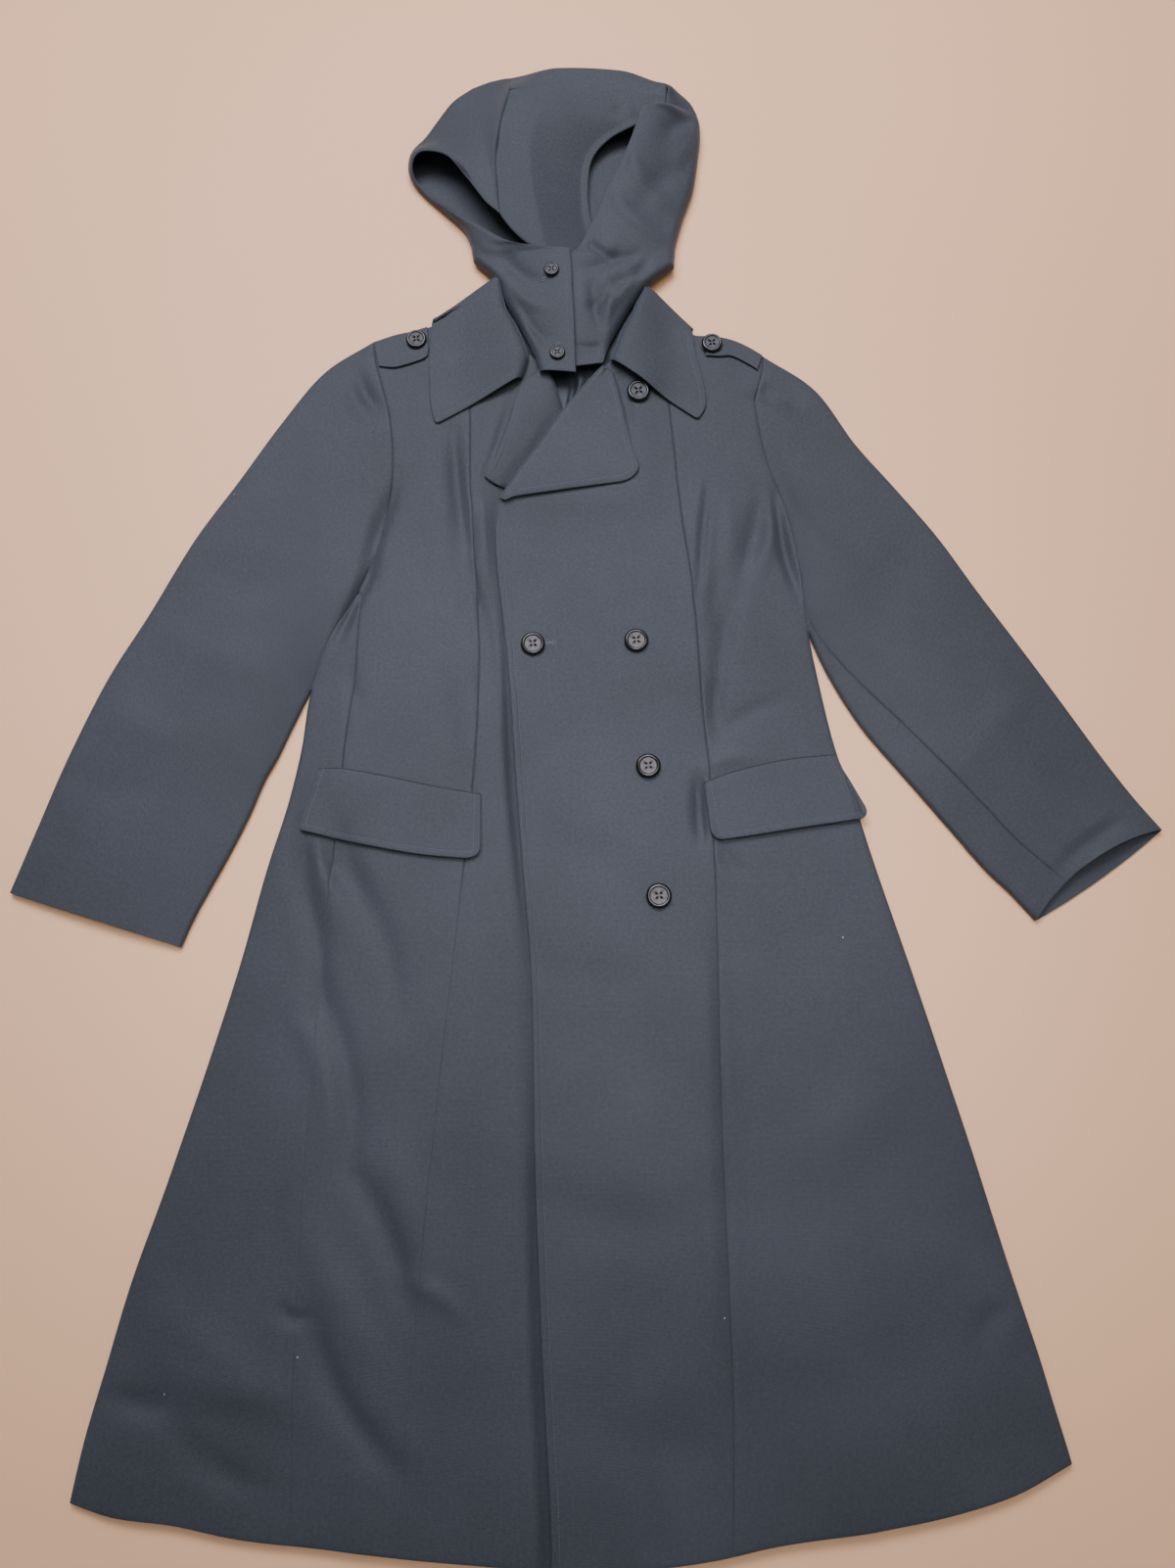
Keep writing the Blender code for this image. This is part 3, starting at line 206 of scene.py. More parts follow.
def twill_material(name, dark, light, sheen):
    made, tree = new_material(name)
    uv = add(tree, "ShaderNodeUVMap", uv_map="cloth").outputs["UV"]
    place = add(tree, "ShaderNodeTexCoord").outputs["Object"]
    turned = add(tree, "ShaderNodeMapping", {"Vector": uv, "Rotation": (0, 0, TWILL_ANGLE)}).outputs["Vector"]
    ribs = add(tree, "ShaderNodeTexWave", {"Vector": turned, "Scale": WAVE_PERIOD / TWILL_RIB,
                                           "Distortion": 0.8, "Detail": 1.0, "Detail Scale": 2.0})
    weft = add(tree, "ShaderNodeTexWave", {"Vector": uv, "Scale": WAVE_PERIOD / WEFT, "Distortion": 0.5})
    weft.bands_direction = "Y"
    fibre = add(tree, "ShaderNodeTexNoise", {"Vector": uv, "Scale": 0.5 / FIBRE,
                                             "Detail": 3.0}).outputs["Fac"]
    both = {0: ribs.outputs["Fac"], 1: weft.outputs["Fac"]}
    woven = add(tree, "ShaderNodeMath", both, operation="MULTIPLY")
    surface = weighted(tree, [(woven.outputs[0], 1.0), (fibre, 1.0)])
    mottle = add(tree, "ShaderNodeTexNoise", {"Vector": uv, "Scale": 0.5 / MOTTLE, "Detail": 2.0})
    patches = add(tree, "ShaderNodeTexNoise", {"Vector": place, "Scale": 5.0, "Detail": 4.0,
                                               "Roughness": 0.6})
    tones = weighted(tree, [(surface, 0.5), (mottle.outputs["Fac"], 0.9), (patches.outputs["Fac"], 0.8)])
    level = add(tree, "ShaderNodeMapRange", {"Value": tones, "From Min": 0.78, "From Max": 1.68})
    cloth = add(tree, "ShaderNodeMix", {"Factor": level.outputs["Result"], "A": linear(dark),
                                        "B": linear(light)}, data_type="RGBA")
    # A few specks of lint: one small dot in some cells of a coarse cell pattern
    cells = add(tree, "ShaderNodeTexVoronoi", {"Vector": place, "Scale": 1 / LINT_APART}).outputs
    picked = add(tree, "ShaderNodeMath", {0: cells["Color"], 1: 0.8}, operation="GREATER_THAN").outputs[0]
    dot = add(tree, "ShaderNodeMath", {0: cells["Distance"], 1: LINT_SIZE}, operation="LESS_THAN").outputs[0]
    lint = add(tree, "ShaderNodeMath", {0: picked, 1: dot}, operation="MULTIPLY").outputs[0]
    colour = add(tree, "ShaderNodeMix", {"Factor": lint, "A": cloth.outputs["Result"],
                                         "B": linear("8d949b")}, data_type="RGBA")
    rough = add(tree, "ShaderNodeMapRange", {"Value": fibre, "To Min": 0.6, "To Max": 0.78})
    bump = add(tree, "ShaderNodeBump", {"Height": surface, "Strength": 0.4, "Distance": 0.0003})
    shader = add(tree, "ShaderNodeBsdfPrincipled", {
        "Base Color": colour.outputs["Result"], "Roughness": rough.outputs["Result"],
        "Normal": bump.outputs["Normal"], "IOR": 1.45, "Sheen Weight": sheen, "Sheen Roughness": 0.4,
        "Sheen Tint": linear("b9c2da"), "Specular IOR Level": 0.42})
    add(tree, "ShaderNodeOutputMaterial", {"Surface": shader.outputs["BSDF"]})
    return made


twill = twill_material("wool_blend_twill", "1e2126", "353940", 0.22)
print("twill rib drawn", TWILL_RIB * 1000, "mm apart")

# %% [markdown]
# ## Lining, buttons and thread
# The lining is a smooth woven satin, whose long floating threads give streaks of gloss along
# them. The buttons are moulded polyester: a tumbled matt middle and a polished black rim. The
# middles of those on the chest are painted lighter, as painted light, and the rest darker, as
# painted shade. Thread is matt dark polyester, and the buttonholes are worked in a paler twist.

# %% Lining, button and thread materials
def plain_material(name, dark, light, roughness, scale, distance, **extra):
    """A finish that varies a little in tone and height: `scale` is features per metre."""
    made, tree = new_material(name)
    place = add(tree, "ShaderNodeTexCoord").outputs["Object"]
    grain = add(tree, "ShaderNodeTexNoise", {"Vector": place, "Scale": scale, "Detail": 3.0}).outputs["Fac"]
    tone = add(tree, "ShaderNodeMix", {"Factor": grain, "A": linear(dark), "B": linear(light)},
               data_type="RGBA")
    rough = add(tree, "ShaderNodeMapRange", {"Value": grain, "To Min": roughness * 0.85,
                                             "To Max": roughness * 1.15})
    bump = add(tree, "ShaderNodeBump", {"Height": grain, "Strength": 0.3, "Distance": distance})
    shader = add(tree, "ShaderNodeBsdfPrincipled", {
        "Base Color": tone.outputs["Result"], "Roughness": rough.outputs["Result"],
        "Normal": bump.outputs["Normal"], **extra})
    add(tree, "ShaderNodeOutputMaterial", {"Surface": shader.outputs["BSDF"]})
    return made


satin = plain_material("satin_lining", "10151a", "20282f", 0.5, 900.0, 0.0002, IOR=1.33)
# Painted light and painted shade: one button finish made in a lighter and a darker copy.
painted_lit_middle_finish = plain_material("matt_polyester_painted_lit", "464444", "575454", 0.6, 700.0, 0.00005, IOR=1.45)
painted_shade_middle_finish = plain_material("matt_polyester_painted_shade", "2b2c2f", "3b3d40", 0.6, 700.0, 0.00005, IOR=1.45)
button_rim = plain_material("polished_polyester", "030304", "08090a", 0.16, 300.0, 0.00003, IOR=1.45)
thread = plain_material("polyester_thread", "363d47", "4c5563", 0.7, 2500.0, 0.0001)
# Painted shade: a near-black thread that draws the shadowed ditch along the flaps' tops.
painted_shade_ditch_thread = plain_material("painted_shade_ditch", "14161a", "202329", 0.7, 2500.0, 0.0001)
gimp = plain_material("buttonhole_twist", "4a515c", "6d7582", 0.6, 2500.0, 0.0001)
print("finishes:", [made.name for made in bpy.data.materials])

# %% [markdown]
# ## The coat's sizes
# A garment lying flat is a map: lines across and along it, in millimetres. `level` is the
# distance along the coat at its waist, and each column says where a seam or an edge crosses it.
# The same tables shape the solids, so that every piece of cloth here lies where its solid does.

# %% Sizes of the body and sleeves
CLOTH = 1.6
DOUBLE = 2.0
LINING = 1.0
SEAM = 0.04
FOLD_RADIUS = 3.6
DOME = 4.6
DOME_REACH = 60.0
ON_THE_FOLD = 0.005
NECK_LEFT = -107.0
HEAD_LEFT = -240.0
NECK_RIGHT = 66.0
HEAD_RIGHT = 196.0
FOLD_TURN = (0, 12, 25, 42, 62, 90)
FOLD_GAP = 0.1
HEM = -775.0
TOP = 450.0
FORK_LEFT = 34.0
FORK_RIGHT = 97.0
ARMPIT_LEFT = 142.0
SINK = 3.4
SINK_UNDER_LAPEL = 7.0
SINK_START = 20.0
SINK_START_BY_LAPEL = 48.0
LAPEL_RAISE = 2.8
BACK_COLLAR_LIFT = 2.6


def table(text):
    """The named columns of a short table, whose first line holds the names."""
    rows = [line.split() for line in text.strip().splitlines()]
    values = np.array(rows[1:], float)
    return {name: values[:, k] for k, name in enumerate(rows[0])}


EDGE_GAP = table("""
level depth width
 -860   4.5    14
 -640   4.0    12
 -500   3.0     9
 -400   1.5     6
 -230   1.5     6
 -150   3.5    10
  -60   4.5    13
   30   3.5    10
   90   2.0     6
  230   1.5     6
  262   1.5    15
  400   1.5    15
""")
SHOULDER = table("""
   x   y
-240 442
-219 450
-173 461
-145 480
-107 509
 -60 513
  20 507
  66 497
  92 474
 113 452
 144 448
 175 438
 196 424
""")
HEMLINE = table("""
   x    y
-466 -726
-432 -736
-367 -744
-309 -755
-237 -762
-150 -771
 -85 -776
 -30 -780
  47 -779
 120 -770
 164 -761
 265 -747
 333 -734
 388 -718
 439 -694
""")
BODY = table("""
level edge_l side_l princess_l front_edge hidden_edge princess_r edge_r
  450   -240   -240       -141         72        -110         88    196
  435   -238   -240       -140         64        -106         87    195
  405   -232   -240       -136         50         -90         86    190
  390   -228   -240       -134         40         -76         86    187
  378   -225   -240       -132         22         -54         87    185
  343   -217   -240       -129        -22         -27         91    187
  300   -212   -240       -128        -58          14         95    194
  262   -212   -240       -127        -83          50         98    205
  243   -215   -240       -125        -94          67        100    211
  220   -220   -240       -124        -98          70        102    217
  180   -230   -240       -121        -97          71        107    224
  142   -245   -241       -117        -93          72        112    228
   97   -268   -241       -114        -87          73        115    233
   34   -288   -244       -113        -80          79        118    243
  -30   -295   -250       -115        -75          84        123    256
  -80   -304   -253       -118        -71          89        126    271
 -150   -322   -257       -124        -65          95        128    290
 -250   -344   -262       -133        -56         104        129    319
 -350   -370   -266       -142        -52         108        129    347
 -450   -398   -269       -150        -49         111        130    374
 -550   -425   -270       -157        -44         116        132    396
 -650   -444   -268       -163        -38         122        133    415
 -720   -457   -266       -167        -33         127        131    427
 -775   -465   -265       -170        -31         129        129    438
""")
SLEEVE_LEFT = table("""
outer_x outer_y inner_x inner_y bow
   -240     442    -288      34   0
   -293     403    -296      16   6
   -337     341    -306      -8  10
   -379     272    -318     -37  14
   -422     203    -331     -64   9
   -464     118    -343     -97   5
   -501      47    -360    -136   2
   -534     -37    -377    -171   0
   -558    -111    -391    -200   0
   -579    -177    -403    -231   0
""")
SLEEVE_RIGHT = table("""
outer_x outer_y inner_x inner_y bow
    196     424     234      97   0
    252     382     243      70  14
    293     317     256      42  10
    333     265     272      13   7
    376     207     289     -13   4
    415     144     311     -41   2
    455      82     339     -76   0
    492      23     369    -114   0
    529     -37     399    -152   0
    557     -79     424    -178   0
    583    -113     447    -205   0
""")
CUFF_DRAWN_BACK = 17.0
CUFF_REACH = 4.0
SLEEVE_SEAM_AT_HEAD = 0.93
SLEEVE_SEAM_AT_CUFF = 0.70
FOLDS = table("""
  x1   y1   x2   y2 width height
-150  330 -128  120    13   -4.0
-128  120 -101   10    12   -3.5
 128  262  116  120    15    3.6
 180  245  140   60    16    3.8
 148  250  134  100    11   -3.0
-284  -96 -246 -205    15    3.8
-256 -100 -224 -205    13   -3.0
-190 -420 -158 -520    18    3.4
-262 -500 -175 -640    17    3.6
-410 -560 -270 -650    20    3.8
 130 -200  132 -640    16   -2.6
-265  405 -232  350    12   -3.0
 195  370  240  388    12   -3.0
 505 -140  540 -168    40    9.0
 -96 -600  -70 -330    30    3.0
""")
EDGE_LIFT = table("""
level lift
  240    0
  120    0
   60    2
  -20    4
 -120    2
 -300    1
 -430    4
 -600    5
 -775    3
""")
print(len(BODY["level"]), "levels of the body")

# %% [markdown]
# ## Creases
# Cloth that has hung and then been laid down keeps soft troughs and ridges. Each row is one of
# them: where it starts and ends, how far it bows aside, its width, and its height (a trough is
# below nought). They are placed from the photograph, and no two are alike.

# %% Creases
CREASE_DEPTH = 1.75
LAPEL_DIP = 2.0
CREASES = table("""
  x1   y1   x2   y2 bend width height
-146  330 -128  190    3     7   -2.6
-126  170 -100   42   -5     7   -2.4
-112  250 -104  160    2     6    1.6
-205  265 -236  150    5     9   -4.5
-228  170 -262   90    2     7   -4.5
-252  398 -226  352    5     7   -2.6
-262  386 -236  344    4     8    2.4
-246   62 -238   18    3     8   -1.6
-150   70 -140  -40    4    14   -1.6
 130  262  119  156    1     5   -3.4
 119  156  114  124    1     4   -1.4
 150  256  138  160   -5     9    2.2
 186  250  160  150   -2    12   -3.8
 160  150  137   48    2    12   -3.8
 202  248  184  170   -4     9    2.4
 137   48  133  -12    2     9   -2.8
 203  258  224  140    5     6   -5.0
 -83  370 -111  278   -1     4   -1.7
  32  402   50  322   -1     4   -2.6
 184  370  206  366   -8     6   -3.0
 206  366  240  372    6     7   -2.4
 192  356  226  350   -6     8    2.0
 213  290  300  176    8    16   -2.4
 250  240  330  120   12    22    1.6
 133  -20  205   22   -8     9   -1.4
 113  -62  115 -126    1     5   -5.5
 134 -128  158 -160    4     7   -2.0
 120  -50  170  -38   -4     8    1.8
-284 -130 -276 -170    0     8   -1.4
-262 -126 -244 -172    4     7   -2.2
-294 -150 -262 -300  -10    11   -2.8
-262 -270 -226 -440  -12    11   -2.6
-226 -440 -168 -560   -8    12   -2.8
-258 -135 -186 -290  -14    13   -2.2
-282 -300 -246 -420  -14    16    1.8
-292 -450 -294 -506    2     7   -1.0
-286 -560 -258 -572    6     6   -1.8
-258 -572 -174 -700   10    12   -2.6
-240 -560 -150 -690   12    16    1.6
-168 -540 -120 -566   -4     9    1.6
-450 -624 -380 -648    8    12   -2.2
-386 -648 -288 -716   12    13   -2.0
-410 -590 -290 -640   12    16    1.8
 134 -190  138 -420    4    10   -1.4
 138 -420  140 -700    3    12   -1.6
 118 -260  120 -560    2    14    1.2
 -40 -470  110 -486   12    26   -1.6
 -20 -660  130 -676   14    30   -1.5
 150 -470  330 -400   20    30   -1.2
 170 -640  330 -560   24    34   -1.4
 390 -560  360 -600    6    10   -1.8
 300 -330  220 -520   24    34    1.4
 -60 -240   60 -262    8    20   -0.9
 -74  -90   40 -150   10    22   -1.0
-440  100 -330   60   10    26    1.4
-420  180 -300  150   12    22   -1.0
-540  -60 -420  -70    8    18   -1.0
-500   20 -390  -20   10    20    1.0
 360  200  300   90   10    24   -1.0
 470   40  380  -60    8    20    1.2
 548 -104  470 -158    6     9   -1.8
-350 -660 -330 -748    4    14    1.6
-200 -690 -205 -766    3    16    1.4
 240 -660  246 -744    4    18    1.4
  52 -700   60 -772    3    16   -1.0
""")
print(len(CREASES["x1"]), "creases on the body and sleeves")


# %% Reading a table
def along(at, knots, values):
    """A smooth curve through a table's rows, read at `at`, and straight beyond its ends."""
    order = np.argsort(knots)
    k, v = knots[order], values[order]
    step = np.diff(k)
    rise = np.diff(v) / step
    inner = (rise[:-1] * step[1:] + rise[1:] * step[:-1]) / (step[:-1] + step[1:])
    slope = np.concatenate([rise[:1], inner, rise[-1:]])
    at = np.asarray(at, float)
    i = np.clip(np.searchsorted(k, at) - 1, 0, len(step) - 1)
    t = (at - k[i]) / step[i]
    c = np.clip(t, 0, 1)
    curve = (v[i] * (1 + 2 * c) * (1 - c) ** 2 + slope[i] * step[i] * c * (1 - c) ** 2
             + v[i + 1] * c * c * (3 - 2 * c) + slope[i + 1] * step[i] * c * c * (c - 1))
    return curve + np.where(t < 0, slope[i], slope[i + 1]) * (t - c) * step[i]


def read(rows, column, at):
    """A column of a table, read at values of its first column."""
    return along(at, next(iter(rows.values())), rows[column])


def row_value(rows, column, at):
    """A column of a table read between its rows, which are numbered from 0."""
    return along(at, np.arange(len(rows[column]), dtype=float), rows[column])


def row_values(rows, at):
    """All the columns of a table, read between its rows."""
    return [row_value(rows, column, at) for column in rows]


def ramp(value, start, end):
    """A soft step from 0 at `start` to 1 at `end`."""
    t = np.clip((np.asarray(value, float) - start) / (end - start), 0, 1)
    return t * t * (3 - 2 * t)


def rounding(distance, radius=FOLD_RADIUS):
    """The quarter circle at a fold: 0 on the fold itself and 1 from one radius inwards."""
    inside = 1 - np.clip(distance, 0, radius) / radius
    return np.sqrt(1 - inside * inside)


def body_x(column, level):
    return read(BODY, column, level)


def body_y(x, level):
    """Level lines are straight at the waist and bow to meet the hem and the shoulders."""
    low = (read(HEMLINE, "y", x) - HEM) * ramp(level, -430, HEM)
    high = (read(SHOULDER, "y", x) - TOP) * ramp(level, 300, TOP)
    return level + low + high


def level_at(x, y):
    """The level of the level line that passes through a point: the inverse of `body_y`."""
    level = np.asarray(y, float)
    for _ in range(12):
        level = level + 0.8 * (y - body_y(x, level))
    return level


def sleeve_point(rows, section, share):
    """A point of a sleeve in plan, `share` of the way from the outer fold to the inner one."""
    ox, oy, ix, iy, bow = row_values(rows, section)
    dx, dy = ix - ox, iy - oy
    length = np.hypot(dx, dy)
    out = np.sign(-ox) * bow * 4 * share * (1 - share)
    return ox + dx * share - out * dy / length, oy + dy * share + out * dx / length


def roll_steps(radius=FOLD_RADIUS):
    """Distances from a fold that share its quarter circle out evenly."""
    return radius * (1 - np.cos(np.radians(FOLD_TURN)))


print("waist:", round(float(body_x("edge_r", ARMPIT_LEFT) - body_x("edge_l", ARMPIT_LEFT))), "mm wide")


# %% Heights of folds, creases and waves
def folds_at(x, y):
    """The height that the largest folds add."""
    total = np.zeros(np.shape(x))
    for x1, y1, x2, y2, width, height in zip(*FOLDS.values()):
        dx, dy = x2 - x1, y2 - y1
        c = np.clip(((x - x1) * dx + (y - y1) * dy) / (dx * dx + dy * dy), 0, 1)
        off = np.hypot(x - x1 - c * dx, y - y1 - c * dy)
        total = total + height * np.exp(-((off / width) ** 2)) * (0.35 + 0.65 * np.sin(np.pi * c))
    return total


def creases_at(rows, x, y):
    """The height that a table of creases adds at each point."""
    total = np.zeros(np.shape(x))
    for x1, y1, x2, y2, bend, width, height in zip(*rows.values()):
        dx, dy = x2 - x1, y2 - y1
        length = math.hypot(dx, dy)
        t = ((x - x1) * dx + (y - y1) * dy) / length**2
        c = np.clip(t, 0, 1)
        off = ((x - x1) * dy - (y - y1) * dx) / length - bend * 4 * c * (1 - c)
        past = (t - c) * length
        near = np.exp(-((off / width) ** 2) - (past / (1.5 * width)) ** 2)
        total = total + CREASE_DEPTH * height * near * (0.3 + 0.7 * np.sin(np.pi * c) ** 0.8)
    return total


def waves(x, y, size, seed):
    """Smooth unevenness between -1 and 1, about one swell every `size` millimetres."""
    grid = np.random.default_rng(seed).uniform(-1, 1, (64, 64))
    turn = 0.5 + seed
    u = (x * math.cos(turn) - y * math.sin(turn)) / size + 640
    v = (x * math.sin(turn) + y * math.cos(turn)) / size + 640
    i, j = np.floor(u).astype(int), np.floor(v).astype(int)
    s, t = ramp(u - i, 0, 1), ramp(v - j, 0, 1)
    i, j, i2, j2 = i % 64, j % 64, (i + 1) % 64, (j + 1) % 64
    low = grid[i, j] * (1 - s) + grid[i2, j] * s
    return low * (1 - t) + (grid[i, j2] * (1 - s) + grid[i2, j2] * s) * t


SWELLS = {
    # piece: height, size and seed of each kind of swell in its cloth
    "body": ((0.8, 120, 3), (0.35, 47, 5), (0.12, 21, 8)),
    "collar": ((0.6, 42, 11),),
    "lapel": ((0.5, 38, 13),),
    "flap": ((0.7, 55, 17),),
    "hood": ((0.8, 50, 21), (0.3, 24, 23)),
    "crown": ((0.5, 45, 27),),
}


def swells(piece, x, y):
    """The slight unevenness of a piece of real cloth, in millimetres."""
    return sum(height * waves(x, y, size, seed) for height, size, seed in SWELLS[piece])


print("the deepest crease is", -CREASES["height"].min() * CREASE_DEPTH, "mm")

# %% [markdown]
# ## The folded outline
# The coat is a tube of cloth pressed flat, so along its sides, shoulders and sleeves the cloth
# turns over a small radius to the floor side. The height of every point follows from how far it
# lies from that outline: a quarter circle at the fold, and then a low dome over the air inside.

# %% Folded outline
LEVEL_STEP = 4.6
SLEEVE_ROWS = 145
LEVELS = np.unique(np.concatenate([
    np.arange(HEM + 6, TOP - FOLD_RADIUS - 1, LEVEL_STEP), [FORK_LEFT, FORK_RIGHT, ARMPIT_LEFT],
    HEM + np.array([0, 0.6, 1.6, 3.4]), TOP - roll_steps()]))


def sections_of(rows):
    """Where a sleeve is cut into rows: close together at the armhole and at the cuff."""
    last = len(rows["bow"]) - 1
    middle = np.linspace(0.08, last - 0.06, SLEEVE_ROWS)
    at_cuff = last - np.array([0.035, 0.015, 0.005, 0])
    return np.concatenate([[0, 0.006, 0.016, 0.032, 0.052], middle, at_cuff])


def level_line(column, levels, offset=0.0):
    x = body_x(column, levels) + offset
    return np.stack([x, body_y(x, levels)], 1)


def as_segments(points):
    points = np.asarray(points, float)[:, :2]
    return np.concatenate([points[:-1], points[1:]], 1)


def fold_segments():
    """The outline wherever it is a fold: shoulders, sleeves and sides, as segments."""
    parts = []
    for rows, edge, fork, neck, head in (
        (SLEEVE_LEFT, "edge_l", FORK_LEFT, NECK_LEFT, HEAD_LEFT),
        (SLEEVE_RIGHT, "edge_r", FORK_RIGHT, NECK_RIGHT, HEAD_RIGHT),
    ):
        xs = np.linspace(neck, head, 40)[:-1]
        down = sections_of(rows)
        outer = np.stack(sleeve_point(rows, down, 0.0), 1)
        inner = np.stack(sleeve_point(rows, down[::-1], 1.0), 1)
        parts.append(as_segments(np.concatenate([np.stack([xs, read(SHOULDER, "y", xs)], 1), outer])))
        parts.append(as_segments(np.concatenate([inner, level_line(edge, LEVELS[LEVELS < fork][::-1])])))
    return np.concatenate(parts)


def distance_to(x, y, segments):
    """How far each point lies in plan from the nearest of some segments."""
    p = np.stack([np.ravel(x), np.ravel(y)], 1).astype(float)
    a, run = segments[:, :2], segments[:, 2:] - segments[:, :2]
    square = (run * run).sum(1) + 1e-12
    found = []
    for part in np.array_split(p, len(p) // 2500 + 1):
        to_x, to_y = part[:, :1] - a[:, 0], part[:, 1:] - a[:, 1]
        t = np.clip((to_x * run[:, 0] + to_y * run[:, 1]) / square, 0, 1)
        found.append(np.sqrt(((to_x - t * run[:, 0]) ** 2 + (to_y - t * run[:, 1]) ** 2).min(1)))
    return np.concatenate(found).reshape(np.shape(x))


FOLD_SEGMENTS = fold_segments()


def fold_distance(x, y):
    distance = distance_to(x, y, FOLD_SEGMENTS)
    return np.where(distance < ON_THE_FOLD, 0.0, distance)


print(len(LEVELS), "rows in the body,", len(FOLD_SEGMENTS), "segments of folded outline")


# %% Surfaces of the coat
def back_lift(x, y):
    """The back rises where the collar's back fall lies under it."""
    return BACK_COLLAR_LIFT * ramp(y, 368, 420) * ramp(np.abs(x + 20), 205, 156)


def floor_side(x, y):
    """Height of the outer face on the floor side."""
    return back_lift(x, y) + FOLD_RADIUS * (1 - rounding(fold_distance(x, y)))


def top_side(x, y):
    """Height of the outer face on top: folds, creases and the slight unevenness of real cloth."""
    distance = fold_distance(x, y)
    flat = 2 * FOLD_RADIUS + DOME * (1 - np.exp(-distance / DOME_REACH))
    soft = folds_at(x, y) + creases_at(CREASES, x, y) + swells("body", x, y)
    flat = flat + soft * ramp(distance, 3, 30)
    return back_lift(x, y) + FOLD_RADIUS + (flat - FOLD_RADIUS) * rounding(distance)


def past_front_edge(x, y):
    """How far a point lies to the right of the upper front's edge, on its own level line."""
    return x - body_x("front_edge", level_at(x, y))


def upper_front(x, y):
    """The top of the front that closes over the other, with its edge lifted here and there."""
    past = np.clip(past_front_edge(x, y), 0, None)
    lift = read(EDGE_LIFT, "lift", y) * ramp(y, 240, 200)
    raised = LAPEL_RAISE * ramp(y, 218, 256) * ramp(x, 92, 52)
    return top_side(x, y) + lift * np.exp(-past / 22) + raised


def under_gap(x, y):
    """The front beneath the upper one. It drops away beside the upper's edge, more in places."""
    past = past_front_edge(x, y)
    by_lapel = ramp(y, 222, 262)
    start = SINK_START + (SINK_START_BY_LAPEL - SINK_START) * by_lapel
    sink = SINK + (SINK_UNDER_LAPEL - SINK) * by_lapel
    depth, width = read(EDGE_GAP, "depth", y), read(EDGE_GAP, "width", y)
    return top_side(x, y) - sink * ramp(past, -start, 1) - depth * ramp(past, -width, -0.35 * width)


def under_lapel(x, y):
    """What the under lapel lies on: it dips once more before it goes beneath the upper one."""
    return under_gap(x, y) - LAPEL_DIP * ramp(past_front_edge(x, y), -15, -5)


def stack(x, y, z):
    return np.stack(np.broadcast_arrays(x, y, z), -1).astype(float)


print("the chest is", round(float(top_side(0.0, 300.0)), 1), "mm high")

# %% [markdown]
# ## How an edge is sewn
# A pressed-open seam is a narrow valley with the seam allowances as a faint ridge on each side.
# A faced edge is rounded, swells a little, and is held down by a row of topstitching. Both are
# only tenths of a millimetre high, but they are what tells the eye that cloth was sewn.

# %% Sewn edges
TOPSTITCH = 7.0
ALLOWANCE = 12.0
HEM_DEPTH = 45.0
HEM_LINE = 0.3
HEM_LINE_WIDE = 1.6
HEM_LEFT = -470
HEM_RIGHT = 450
SEAM_VALLEY = 0.7
SEAM_VALLEY_WIDE = 0.9
SEAM_RIDGE = 0.2
EDGE_DROP = 0.6
EDGE_ROUND = 1.2
EDGE_SWELL = 0.2
GROOVE = 0.22
GROOVE_WIDE = 0.6
EDGE_STEPS = np.array([0, 0.35, 0.9, 1.8, 3.2, 4.8, 6.0, 6.6, 7.0, 7.4, 8.0, 9.4, 12.0])
SEAM_STEPS = np.array([0, 0.4, 0.9, 1.7, 3.0, 5.0, 8.5, 12.0])


def seam_press(distance):
    valley = -SEAM_VALLEY * np.exp(-((distance / SEAM_VALLEY_WIDE) ** 2))
    ridge = SEAM_RIDGE * ramp(distance, 0.8, 3.5) * (1 - ramp(distance, ALLOWANCE - 1, ALLOWANCE + 3))
    return valley + ridge


def topstitch_press(distance):
    edge = -EDGE_DROP * (1 - rounding(distance, EDGE_ROUND))
    swell = EDGE_SWELL * np.sin(np.pi * np.clip(distance / TOPSTITCH, 0, 1))
    groove = -GROOVE * np.exp(-(((distance - TOPSTITCH) / GROOVE_WIDE) ** 2))
    return edge + swell + groove


def sleeve_seam_share(section):
    last = len(SLEEVE_RIGHT["bow"]) - 1
    return SLEEVE_SEAM_AT_HEAD + (SLEEVE_SEAM_AT_CUFF - SLEEVE_SEAM_AT_HEAD) * section / last


SLEEVE_SEAM_SECTIONS = np.linspace(0.6, 10, 60)
SEAM_LINES = np.concatenate([as_segments(points) for points in (
    level_line("princess_l", LEVELS[::2]),
    level_line("princess_r", LEVELS[::2]),
    level_line("side_l", LEVELS[LEVELS <= ARMPIT_LEFT][::2]),
    level_line("edge_l", LEVELS[LEVELS >= FORK_LEFT]),
    level_line("edge_r", LEVELS[LEVELS >= FORK_RIGHT]),
    np.stack(sleeve_point(SLEEVE_RIGHT, SLEEVE_SEAM_SECTIONS, sleeve_seam_share(SLEEVE_SEAM_SECTIONS)), 1),
)])


def hem_press(x, y):
    """The hem is turned up inside: its stitching draws a faint line above the folded edge."""
    above = y - read(HEMLINE, "y", x)
    line_drawn = -HEM_LINE * np.exp(-(((above - HEM_DEPTH) / HEM_LINE_WIDE) ** 2))
    rounded_off = 0.8 * np.exp(-np.clip(above, 0, None) / EDGE_ROUND)
    return line_drawn * (x < HEM_RIGHT) * (x > HEM_LEFT) - rounded_off


def sewn_top(surface):
    """A surface with its seams pressed in. On the skirt they have all but vanished."""

    def height(x, y):
        near_fold = ramp(fold_distance(x, y), 1, 6)
        kept = 1 - ramp(y, -120, -220) * np.where(x < 0, 0.85, 0.5)
        pressed = seam_press(distance_to(x, y, SEAM_LINES)) * kept + hem_press(x, y)
        return surface(x, y) + pressed * near_fold

    return height


print(len(SEAM_LINES), "segments of seam")

